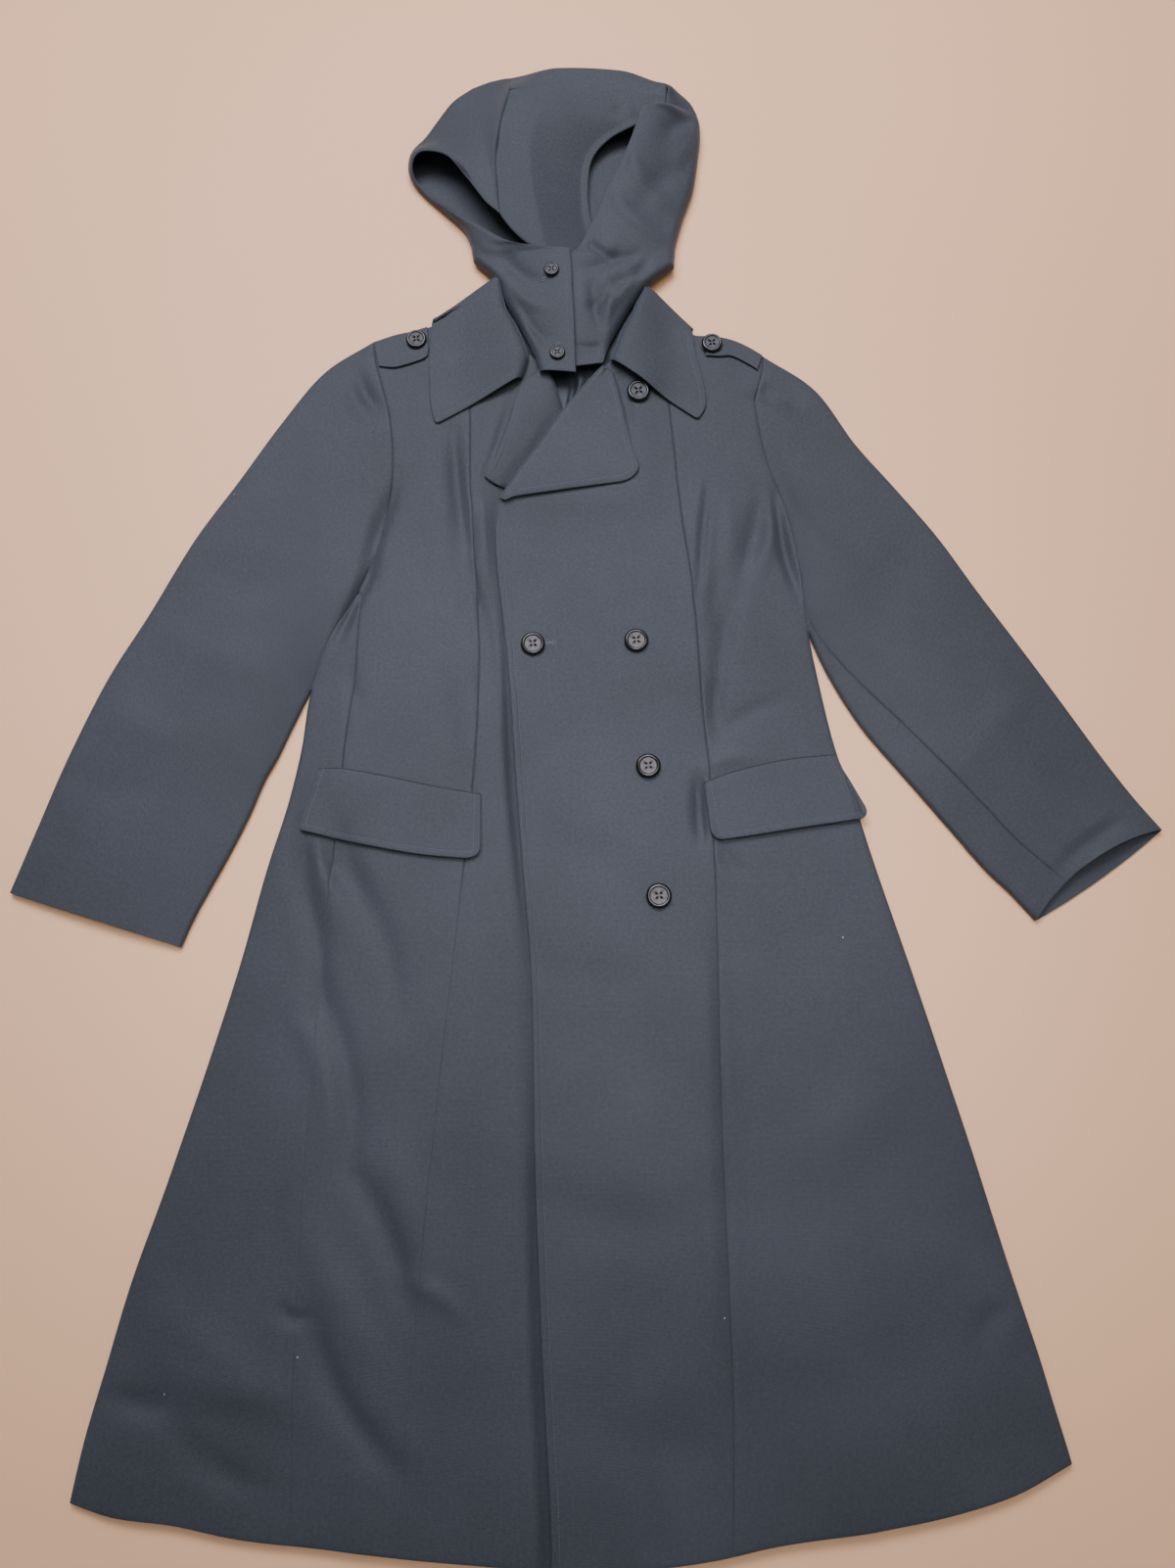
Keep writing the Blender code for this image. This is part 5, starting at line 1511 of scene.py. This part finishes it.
def hood_top(fx, fy, ex, ey, ez, belly, share):
    """Points of a side panel's top, `share` of the way from its fold to its free edge."""
    length = np.hypot(ex - fx, ey - fy)
    radius = np.minimum(HOOD_FOLD_HEIGHT, length * HOOD_CURL_TOP)
    centre = hood_fold_centre(fy)
    crest = np.minimum(centre + radius + 2, np.maximum(ez, centre + 1))
    target = crest + (ez - crest) * ramp(share, 0, 1) + belly * 4 * share * (1 - share)
    z = centre + (target - centre) * rounding(share * length, radius)
    return fx + (ex - fx) * share, fy + (ey - fy) * share, z


def hood_below(fx, fy, ux, uy, share):
    """Points of its floor side, `share` of the way from its fold to its seam."""
    length = np.hypot(ux - fx, uy - fy)
    curl = 1 - rounding(share * length, np.minimum(HOOD_FOLD_HEIGHT, HOOD_CURL_BELOW * length))
    y = fy + (uy - fy) * share
    return fx + (ux - fx) * share, y, hood_floor(y) + (hood_fold_centre(fy) - hood_floor(y)) * curl


def hood_turn(left, right, middle, shares):
    """A row of the centre panel just inside points of its neighbours, `middle` high half way."""
    rise = (middle - (left[2] + right[2]) / 2) * ramp(shares, 0, 0.3) * ramp(shares, 1, 0.7)
    x, y, z = (a + (b - a) * shares for a, b in zip(left, right))
    x = x + HOOD_TURN_GAP * (1 - shares) - HOOD_TURN_GAP * shares
    return stack(x, y + HOOD_CROWN_BOW * 4 * shares * (1 - shares), z + rise)


def cornered(values, at, corners):
    """A column of a table, smooth between its corners and sharply turned at them."""
    found = np.empty(np.shape(at))
    stops = [0, *corners, len(values) - 1]
    for a, b in zip(stops[:-1], stops[1:]):
        pick = (at >= a) & (at <= b)
        found[pick] = along(at[pick], np.arange(a, b + 1.0), values[a : b + 1])
    return found


print("the hood's neck lies", round(float(hood_floor(500.0)), 2), "mm above the floor")


# %% Sides of the hood
def hood_side(name, rows, side, corners):
    count = len(rows["fold_x"]) - 1
    near_first = [0.03, 0.08, 0.16, 0.28]
    k = np.unique(np.concatenate([np.linspace(0, count, 150), np.arange(count + 1), near_first]))
    *ends, _ = (cornered(values, k, corners)[:, None] for values in rows.values())
    fx, fy, ex, ey = ends[:4]
    length = np.hypot(ex - fx, ey - fy)
    radius = np.minimum(HOOD_FOLD_HEIGHT, length * HOOD_CURL_TOP)
    final = np.minimum(EDGE_STEPS[::-1], (length - radius) * np.linspace(0.6, 0, len(EDGE_STEPS)))
    inside = radius + (length - radius - final[:, :1]) * np.linspace(0, 1, 24)[1:-1]
    share = np.concatenate([roll_steps(radius), inside, length - final], 1) / length
    x, y, z = hood_top(*ends, share)
    soft = creases_at(HOOD_CREASES, x, y) + swells("hood", x, y)
    at_ends = ramp(share * length, 3, 16) * ramp((1 - share) * length, 2, 14)
    z = z + soft * at_ends * ramp(count - k, 0, 2)[:, None]
    away = HOOD_LAP if side == "left" else -HOOD_LAP
    x[:, -1] += away
    top = stack(x, y, z)
    face_rows = k <= corners[-1]
    face = np.concatenate([top[0][8:], top[face_rows][:, -1]])
    crown_line = np.concatenate([top[~face_rows][:, -1], top[-1][::-1]])
    top[..., 2] += HOOD_PRESS[side] * topstitch_press(distance_to(x, y, as_segments(face)))
    top[..., 2] += seam_press(distance_to(x, y, as_segments(crown_line)))
    low = k >= HOOD_FLOOR_ROW
    fx, fy = fx[low], fy[low]
    uy = row_value(rows, "floor_y", k[low])[:, None]
    ux = read(HOOD_FLOOR_SEAMS, side, uy) + away
    length = np.hypot(ux - fx, uy - fy)
    radius = np.minimum(HOOD_FOLD_HEIGHT, HOOD_CURL_BELOW * length)
    d = np.concatenate([roll_steps(radius), radius + (length - radius) * np.linspace(0, 1, 9)[1:]], 1)
    cloth_piece(name, [top, stack(*hood_below(fx, fy, ux, uy, d / length))], CLOTH, twill)
    return face


face_left = hood_side("cloth_hood_left", HOOD_LEFT, "left", (5, 17))
hood_side("cloth_hood_right", HOOD_RIGHT, "right", (5, 14))


# %% Middle strip of the hood
def hollow_slope(share, k):
    """The crown sinks from a ridge on its left all the way to its face edge on the right."""
    ridge = along(k, *HOLLOW_RIDGE)
    fallen = np.clip((share - ridge) / (HOLLOW_END - ridge), 0, 1)
    return HOLLOW_DEPTH * (fallen - 0.12 * ramp(share, HOLLOW_END, 1))


def hood_centre():
    """The middle strip: its face edge, the crown, the turn and the floor side."""
    shares = shares_of(CROWN_WIDTH, 4.0, SEAM_STEPS[:6], SEAM_STEPS[:6])
    pressed = seam_press(np.minimum(shares, 1 - shares) * CROWN_WIDTH)
    sides = {"left": HOOD_LEFT, "right": HOOD_RIGHT}
    ends = {side: [values[-1] for values in rows.values()] for side, rows in sides.items()}
    grid, face = [], []
    for k in np.linspace(0, len(HOOD_CROWN["bow"]) - 1, 60):
        lx, ly, rx, ry, bow, lz, rz, hollow = row_values(HOOD_CROWN, k)
        x, y = lx + (rx - lx) * shares, ly + (ry - ly) * shares + bow * 4 * shares * (1 - shares)
        z = lz + (rz - lz) * shares - hollow * hollow_slope(shares, k) + pressed
        soft = creases_at(CROWN_CREASES, x, y) + swells("crown", x, y)
        grid.append(stack(x, y, z + soft * np.sin(np.pi * shares)))
        if k <= HOOD_FACE_ROWS:
            face.append(grid[-1][-1])
    for share in (0.95, 0.85, 0.75, 0.6, 0.5, 0.42, 0.35, 0.28, 0.22, 0.16, 0.11, 0.07, 0.04, 0.02, 0.005):
        left, right = (hood_top(*ends[side][:6], share) for side in sides)
        middle = HOOD_FOLD_HEIGHT + (HOOD_CROWN_HIGH - HOOD_FOLD_HEIGHT) * rounding(share, 0.43)
        grid.append(hood_turn(left, right, middle, shares) + stack(0, 0, pressed * share))
    for share in (0.01, 0.05, 0.12, 0.22, 0.35, 0.5, 0.75, 1):
        left, right = (hood_below(fx, fy, read(HOOD_FLOOR_SEAMS, side, uy), uy, share)
                       for side, (fx, fy, *_, uy) in ends.items())
        grid.append(hood_turn(left, right, (left[2] + right[2]) / 2, shares))
    for y in np.linspace(764, 478, 40):
        left, right = read(HOOD_FLOOR_SEAMS, "left", y), read(HOOD_FLOOR_SEAMS, "right", y)
        grid.append(stack(left + (right - left) * shares, y, hood_floor(y)))
    cloth_piece("cloth_hood_centre", [grid], CLOTH, twill)
    return np.array(face)


face_centre = hood_centre()

# %% [markdown]
# ## The lining in the neck
# Between the lapels a little of the lining shows. Satin is sewn in with some fullness, so it
# gathers into narrow folds that run up from the point of the V.

# %% Neck lining
LINING_CLEAR = 1.6
LINING_FOLD = 2.4
LINING_RISE = 1.5
NECK_LINING = table("""
left_x left_y right_x right_y
   -88    500      52     490
   -80    440      45     435
   -62    395      35     395
   -38    355       0     360
""")
grid = []
for s in np.linspace(0, len(NECK_LINING["left_x"]) - 1, 60):
    lx, ly, rx, ry = row_values(NECK_LINING, s)
    u = np.linspace(0, 1, 80)
    x, y = lx + (rx - lx) * u, ly + (ry - ly) * u
    folds = np.sin(u * 27 + 1.6 * np.sin(s * 2.1) + 0.8 * np.sin(u * 13)) * (0.6 + 0.4 * np.sin(u * 7 + s))
    raised = (LINING_FOLD * folds + LINING_RISE) * np.sin(np.pi * u)
    grid.append(stack(x, y, floor_side(x, y) + CLOTH + LINING_CLEAR + LINING + raised))
cloth_piece("lining_neck", [grid], LINING, satin)

# %% [markdown]
# ## Buttons
# A sewn-through button is turned: a dished middle, a raised rim with a rounded crest, and four
# holes. It is spun from its profile, its holes are cut, and the rim gets the polished finish.
# The holes' walls get the same near-black finish, as painted shade in the holes.

# %% A turned button
MAIN_BUTTON = 25.4
STRAP_BUTTON = 22.9
HOOD_BUTTON = 17.0
BUTTON_TURN = 0.1
BUTTON_PROFILE = table("""
 out   up
0.00 0.70
0.30 0.70
0.62 0.71
0.67 0.75
0.71 0.88
0.75 0.97
0.79 1.00
0.84 0.97
0.91 0.85
0.97 0.65
1.00 0.42
0.98 0.20
0.90 0.06
0.70 0.00
0.00 0.00
""")
BUTTON_THICK = 0.15
HOLE_SPREAD = 0.085
HOLE_RADIUS = 0.053
HOLE_SIDES = 14
RIM_STARTS = 0.665
RIM_BELOW = 0.3
AROUND = 48
THREAD = 0.1
THREAD_HIGH = 0.7
THREAD_BEND = 1.6


def mesh_object(name, form):
    """A smooth object from a bmesh."""
    mesh = bpy.data.meshes.new(name)
    form.to_mesh(mesh)
    form.free()
    mesh.shade_smooth()
    return new_object(name, mesh)


def settle(item):
    """Applies an object's modifiers for good."""
    made = bpy.data.meshes.new_from_object(item.evaluated_get(bpy.context.evaluated_depsgraph_get()))
    item.modifiers.clear()
    item.data = made
    return made


def button(name, node, across_mm, middle):
    low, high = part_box(node)
    centre = [(low[0] + high[0]) / 2, (low[1] + high[1]) / 2, low[2]]
    r, thick, spread = across_mm / 2, BUTTON_THICK * across_mm, across_mm * HOLE_SPREAD
    form = bmesh.new()
    points = [form.verts.new((a * r * MM, 0, b * thick * MM)) for a, b in zip(*BUTTON_PROFILE.values())]
    edges = [form.edges.new(pair) for pair in zip(points[:-1], points[1:])]
    bmesh.ops.spin(form, geom=points + edges, cent=(0, 0, 0), axis=(0, 0, 1), angle=2 * math.pi,
                   steps=AROUND, use_merge=True)
    bmesh.ops.remove_doubles(form, verts=form.verts, dist=1e-6)
    bmesh.ops.recalc_face_normals(form, faces=form.faces)
    item = mesh_object(name, form)
    drill = bmesh.new()
    for dx in (-spread, spread):
        for dy in (-spread, spread):
            radius = across_mm * HOLE_RADIUS * MM
            made = bmesh.ops.create_cone(drill, cap_ends=True, segments=HOLE_SIDES, radius1=radius,
                                         radius2=radius, depth=0.02)
            bmesh.ops.translate(drill, vec=(dx * MM, dy * MM, 0), verts=made["verts"])
    cutter_mesh = bpy.data.meshes.new(name + "_drill")
    drill.to_mesh(cutter_mesh)
    drill.free()
    cutter = new_object(name + "_drill", cutter_mesh)
    cut = item.modifiers.new("holes", "BOOLEAN")
    cut.operation = "DIFFERENCE"
    cut.object = cutter
    drilled = settle(item)
    bpy.data.objects.remove(cutter)
    drilled.materials.clear()
    drilled.materials.append(middle)
    drilled.materials.append(button_rim)
    for face in drilled.polygons:
        out = math.hypot(face.center.x, face.center.y) / (r * MM)
        # Painted shade: the holes' walls take the near-black rim finish, so that the holes show dark.
        hole_wall_painted_shade = out < 0.5 and abs(face.normal.z) < 0.5
        low_down = face.center.z < RIM_BELOW * thick * MM
        face.material_index = 1 if hole_wall_painted_shade or out > RIM_STARTS or low_down else 0
    c, s = math.cos(BUTTON_TURN), math.sin(BUTTON_TURN)
    turn = np.array([[c, -s, 0], [s, c, 0], [0, 0, 1]])
    place = np.empty(len(drilled.vertices) * 3)
    drilled.vertices.foreach_get("co", place)
    drilled.vertices.foreach_set("co", (place.reshape(-1, 3) @ turn.T + np.array(centre)).ravel())
    drilled.update()
    return item, centre, turn, spread, thick


print("a button's profile has", len(BUTTON_PROFILE["out"]), "points")


# %% Buttons and their thread
def threads(name, centre, turn, spread, thick, finish):
    """Two bars of thread across each button, through its holes."""
    form = bmesh.new()
    for dy in (-spread, spread):
        for shift in (-THREAD, THREAD):
            made = bmesh.ops.create_uvsphere(form, u_segments=10, v_segments=6, radius=0.001)
            for vert in made["verts"]:
                x, y, z = vert.co * 1000
                up = thick * THREAD_HIGH - THREAD_BEND * abs(x) ** 3 + z * THREAD
                vert.co = (x * (spread + THREAD) * MM, (dy + shift + y * THREAD) * MM, up * MM)
    for vert in form.verts:
        vert.co = Vector(turn @ np.array(vert.co)) + Vector(centre)
    item = mesh_object(name, form)
    item.data.materials.append(finish)
    return item


lit_buttons = [f"button_main_{k}" for k in range(1, 6)]
BUTTON_NODES = {node: MAIN_BUTTON for node in lit_buttons}
BUTTON_NODES.update(button_strap_left=STRAP_BUTTON, button_strap_right=STRAP_BUTTON)
BUTTON_NODES.update(button_hood_upper=HOOD_BUTTON, button_hood_lower=HOOD_BUTTON)
# The highest main button and the strap and hood buttons get the darker middle, as painted shade. The other
# main buttons get the lighter one, as painted light. Their thread takes the same finish.
lit_buttons.remove(max(lit_buttons, key=lambda node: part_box(node)[0][1]))
made_buttons = {}
for node, across in BUTTON_NODES.items():
    middle = painted_lit_middle_finish if node in lit_buttons else painted_shade_middle_finish
    item, *placed = button("turned_" + node, node, across, middle)
    made_buttons[node] = (item, threads("thread_" + node, *placed, middle))
print(len(made_buttons), "buttons")

# %% [markdown]
# ## Topstitching and buttonholes
# A machine stitch shows as a small rounded bar every three millimetres or so. A thousand of
# them follow the edges, so Geometry Nodes make them: a line is cut into even steps, and one
# stitch is set on each, turned along the line. The same tree, with its stitch lying across the
# line and the steps close together, makes the worked edge of a buttonhole.

# %% Stitches with Geometry Nodes
def stitch_tree():
    tree = bpy.data.node_groups.new("stitches", "GeometryNodeTree")
    ports = tree.interface
    ports.new_socket("Lines", in_out="INPUT", socket_type="NodeSocketGeometry")
    for label in ("Pitch", "Along", "Across", "Thickness"):
        ports.new_socket(label, in_out="INPUT", socket_type="NodeSocketFloat")
    ports.new_socket("Thread", in_out="INPUT", socket_type="NodeSocketMaterial")
    ports.new_socket("Stitches", in_out="OUTPUT", socket_type="NodeSocketGeometry")
    given = add(tree, "NodeGroupInput").outputs
    curve = add(tree, "GeometryNodeMeshToCurve", {"Mesh": given["Lines"]}).outputs["Curve"]
    steps = add(tree, "GeometryNodeResampleCurve", {"Curve": curve, "Length": given["Pitch"]}, mode="LENGTH")
    tangent = add(tree, "GeometryNodeInputTangent").outputs["Tangent"]
    aligned = add(tree, "FunctionNodeAlignRotationToVector", {"Vector": tangent}, axis="X")
    size = add(tree, "ShaderNodeCombineXYZ", {"X": given["Along"], "Y": given["Across"],
                                              "Z": given["Thickness"]}).outputs["Vector"]
    bar = add(tree, "GeometryNodeMeshUVSphere", {"Segments": 6, "Rings": 5, "Radius": 0.5}).outputs["Mesh"]
    shaped = add(tree, "GeometryNodeTransform", {"Geometry": bar, "Scale": size})
    placed = add(tree, "GeometryNodeInstanceOnPoints", {
        "Points": steps.outputs["Curve"], "Instance": shaped.outputs["Geometry"],
        "Rotation": aligned.outputs["Rotation"]})
    real = add(tree, "GeometryNodeRealizeInstances", {"Geometry": placed.outputs["Instances"]})
    smooth = add(tree, "GeometryNodeSetShadeSmooth", {"Geometry": real.outputs["Geometry"]})
    finish = add(tree, "GeometryNodeSetMaterial", {"Geometry": smooth.outputs["Geometry"],
                                                   "Material": given["Thread"]})
    add(tree, "NodeGroupOutput", {"Stitches": finish.outputs["Geometry"]})
    return tree


STITCH_TREE = stitch_tree()


def stitched(name, lines, **sizes):
    """Stitches along lines of points in metres. `sizes` gives the tree's inputs by name."""
    points, edges = [], []
    for run in lines:
        edges += [(len(points) + i, len(points) + i + 1) for i in range(len(run) - 1)]
        points += [tuple(p) for p in run]
    mesh = bpy.data.meshes.new(name)
    mesh.from_pydata(points, edges, [])
    item = new_object(name, mesh)
    nodes = item.modifiers.new("stitches", "NODES")
    nodes.node_group = STITCH_TREE
    for socket in STITCH_TREE.interface.items_tree:
        if socket.name in sizes:
            nodes[socket.identifier] = sizes[socket.name]
    print(f"{name}: {len(settle(item).polygons)} faces")
    return item


print(len(STITCH_TREE.nodes), "nodes make the stitches")


# %% Topstitching
def dropped(points, piece, above):
    """Points in millimetres in plan, set on a piece from above, in metres; misses end a run."""
    runs, run = [], []
    for x, y in points:
        start = Vector(((x - MIDDLE[0]) * MM, (y - MIDDLE[1]) * MM, 0.2))
        hit = TOPS[piece].ray_cast(start, Vector((0, 0, -1)))[0]
        if hit is None or hit.z < MM:
            runs, run = runs + [run], []
        else:
            run.append(hit + Vector((0, 0, above * MM)))
    return [r for r in runs + [run] if len(r) > 2]


def inset(border, side):
    """A line beside a border, on its left (1) or right (-1), without the loops at sharp corners."""
    p = np.asarray(border, float)[:, :2]
    run = lengths_along(p)
    keep = np.concatenate([[True], np.diff(run) > 1e-6])
    even = np.linspace(0, run[-1], int(run[-1]))
    p = np.stack([np.interp(even, run[keep], p[keep, 0]), np.interp(even, run[keep], p[keep, 1])], 1)
    tangent = np.gradient(p, axis=0)
    tangent /= np.hypot(*tangent.T)[:, None] + 1e-9
    moved = p + side * TOPSTITCH * np.stack([-tangent[:, 1], tangent[:, 0]], 1)
    clear = distance_to(moved[:, 0], moved[:, 1], as_segments(border)) > TOPSTITCH - 0.25
    return moved[clear]


STITCHED_EDGES = [
    (level_line("front_edge", np.arange(244, HEM + 2, -4.0)), "cloth_front_right"),
    (collar_border_left, "cloth_collar"),
    (collar_border_right, "cloth_collar"),
    (lapel_border_left, "cloth_lapel_left"),
    (lapel_border_right, "cloth_lapel_right"),
    (flap_border_left, "cloth_flap_left"),
    (flap_border_right, "cloth_flap_right"),
    (strap_border_left, "cloth_strap_left"),
    (strap_border_right, "cloth_strap_right"),
    (face_left, "cloth_hood_left"),
    (face_centre, "cloth_hood_centre"),
]
stitch_lines = []
for border, piece in STITCHED_EDGES:
    sides = [dropped(inset(border, side), piece, 0.0) for side in (1, -1)]
    found = max(sides, key=lambda runs: sum(len(r) for r in runs))
    stitch_lines += found
    print(piece, sum(len(r) for r in found), "mm of topstitching")
topstitching = stitched("topstitching", stitch_lines, Pitch=0.0032, Along=0.0026, Across=0.0006,
                        Thickness=0.0005, Thread=thread)


# %% Painted shade lines at the flaps' tops, and buttonholes
def keyhole(x, y, angle, long, eye=1.9, half=0.9):
    """The visible end of a keyhole buttonhole, in plan: a slot that opens into an eye."""
    around = np.radians(np.linspace(205, 515, 26))
    shape = [(0, half)] + [(long + eye * math.cos(a), eye * math.sin(a)) for a in around[::-1]] + [(0, -half)]
    c, s = math.cos(math.radians(angle)), math.sin(math.radians(angle))
    return [(x + c * px - s * py, y + s * px + c * py) for px, py in shape]


# Painted shade: a dark bar of thread along each flap's top stands for the shadowed ditch of its seam.
painted_shade_ditch_lines = []
for rows, piece in ((FLAP_LEFT, "cloth_flap_left"), (FLAP_RIGHT, "cloth_flap_right")):
    at = np.linspace(0.03, len(rows["top_x"]) - 1.03, 160)
    run = np.stack([row_value(rows, "top_x", at), row_value(rows, "top_y", at) - 0.5], 1)
    painted_shade_ditch_lines += dropped(run, piece, 0.05)
painted_shade_ditches = stitched("painted_shade_ditches", painted_shade_ditch_lines, Pitch=0.0012, Along=0.0018, Across=0.0017, Thickness=0.0006,
                   Thread=painted_shade_ditch_thread)
BUTTONHOLES = [
    # x, y, angle, length, piece
    (-46, 84, 6, 10.5, "cloth_front_right"),
    (-45, 508, 215, 5.0, "cloth_hood_left"),
    (-32, 421, 95, 4.0, "cloth_hood_left"),
    (-64, 295, 20, 2.5, "cloth_lapel_left"),
]
hole_lines = []
for *place, piece in BUTTONHOLES:
    hole_lines += dropped(keyhole(*place), piece, 0.15)
buttonholes = stitched("buttonholes", hole_lines, Pitch=0.00045, Along=0.0004, Across=0.0015,
                       Thickness=0.0006, Thread=gimp)

# %% [markdown]
# ## Which solid each piece stands for, and the cut of each cloth
# The cloth pieces replace the plain solids, which stay for collision. The table lists the flat
# size of each cut piece as it shows: width, length and area.

# %% Placing the pieces
CUT = {
    # solid: width, length, area, and the piece's own name where it isn't cloth_ and the solid's
    "back_left": (0.236, 1.296, 0.207),
    "back_right": (0.237, 1.295, 0.206),
    "side_back_left": (0.427, 1.263, 0.276),
    "side_back_right": (0.228, 1.239, 0.179),
    "side_front_left": (0.136, 1.258, 0.144),
    "side_front_right": (0.322, 1.250, 0.217),
    "front_left": (0.301, 1.340, 0.269),
    "front_right": (0.206, 1.331, 0.216),
    "sleeve_left_upper": (0.300, 0.716, 0.117),
    "sleeve_left_under": (0.300, 0.716, 0.117),
    "sleeve_right_upper": (0.250, 0.666, 0.085),
    "sleeve_right_under": (0.330, 0.666, 0.114),
    "collar": (0.126, 0.595, 0.048),
    "lapel_left": (0.150, 0.199, 0.014),
    "lapel_right": (0.140, 0.194, 0.013),
    "pocket_flap_left": (0.076, 0.205, 0.013, "cloth_flap_left"),
    "pocket_flap_right": (0.075, 0.178, 0.011, "cloth_flap_right"),
    "shoulder_strap_left": (0.039, 0.066, 0.0023, "cloth_strap_left"),
    "shoulder_strap_right": (0.030, 0.066, 0.0015, "cloth_strap_right"),
    "hood_left": (0.250, 0.560, 0.0585),
    "hood_right": (0.226, 0.421, 0.054),
    "hood_centre": (0.184, 0.599, 0.069),
    "neck_lining": (0.141, 0.156, 0.0155, "lining_neck"),
}
for node, (width, length, area, *named) in CUT.items():
    piece = bpy.data.objects[named[0] if named else "cloth_" + node]
    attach(piece, "root")
    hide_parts(node)
for node, (item, sewn) in made_buttons.items():
    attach(item, "root")
    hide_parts(node)
    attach(sewn, "root")
for piece in (topstitching, buttonholes, painted_shade_ditches):
    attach(piece, "root")
print(len(CUT), "sheets and", len(made_buttons), "buttons placed")
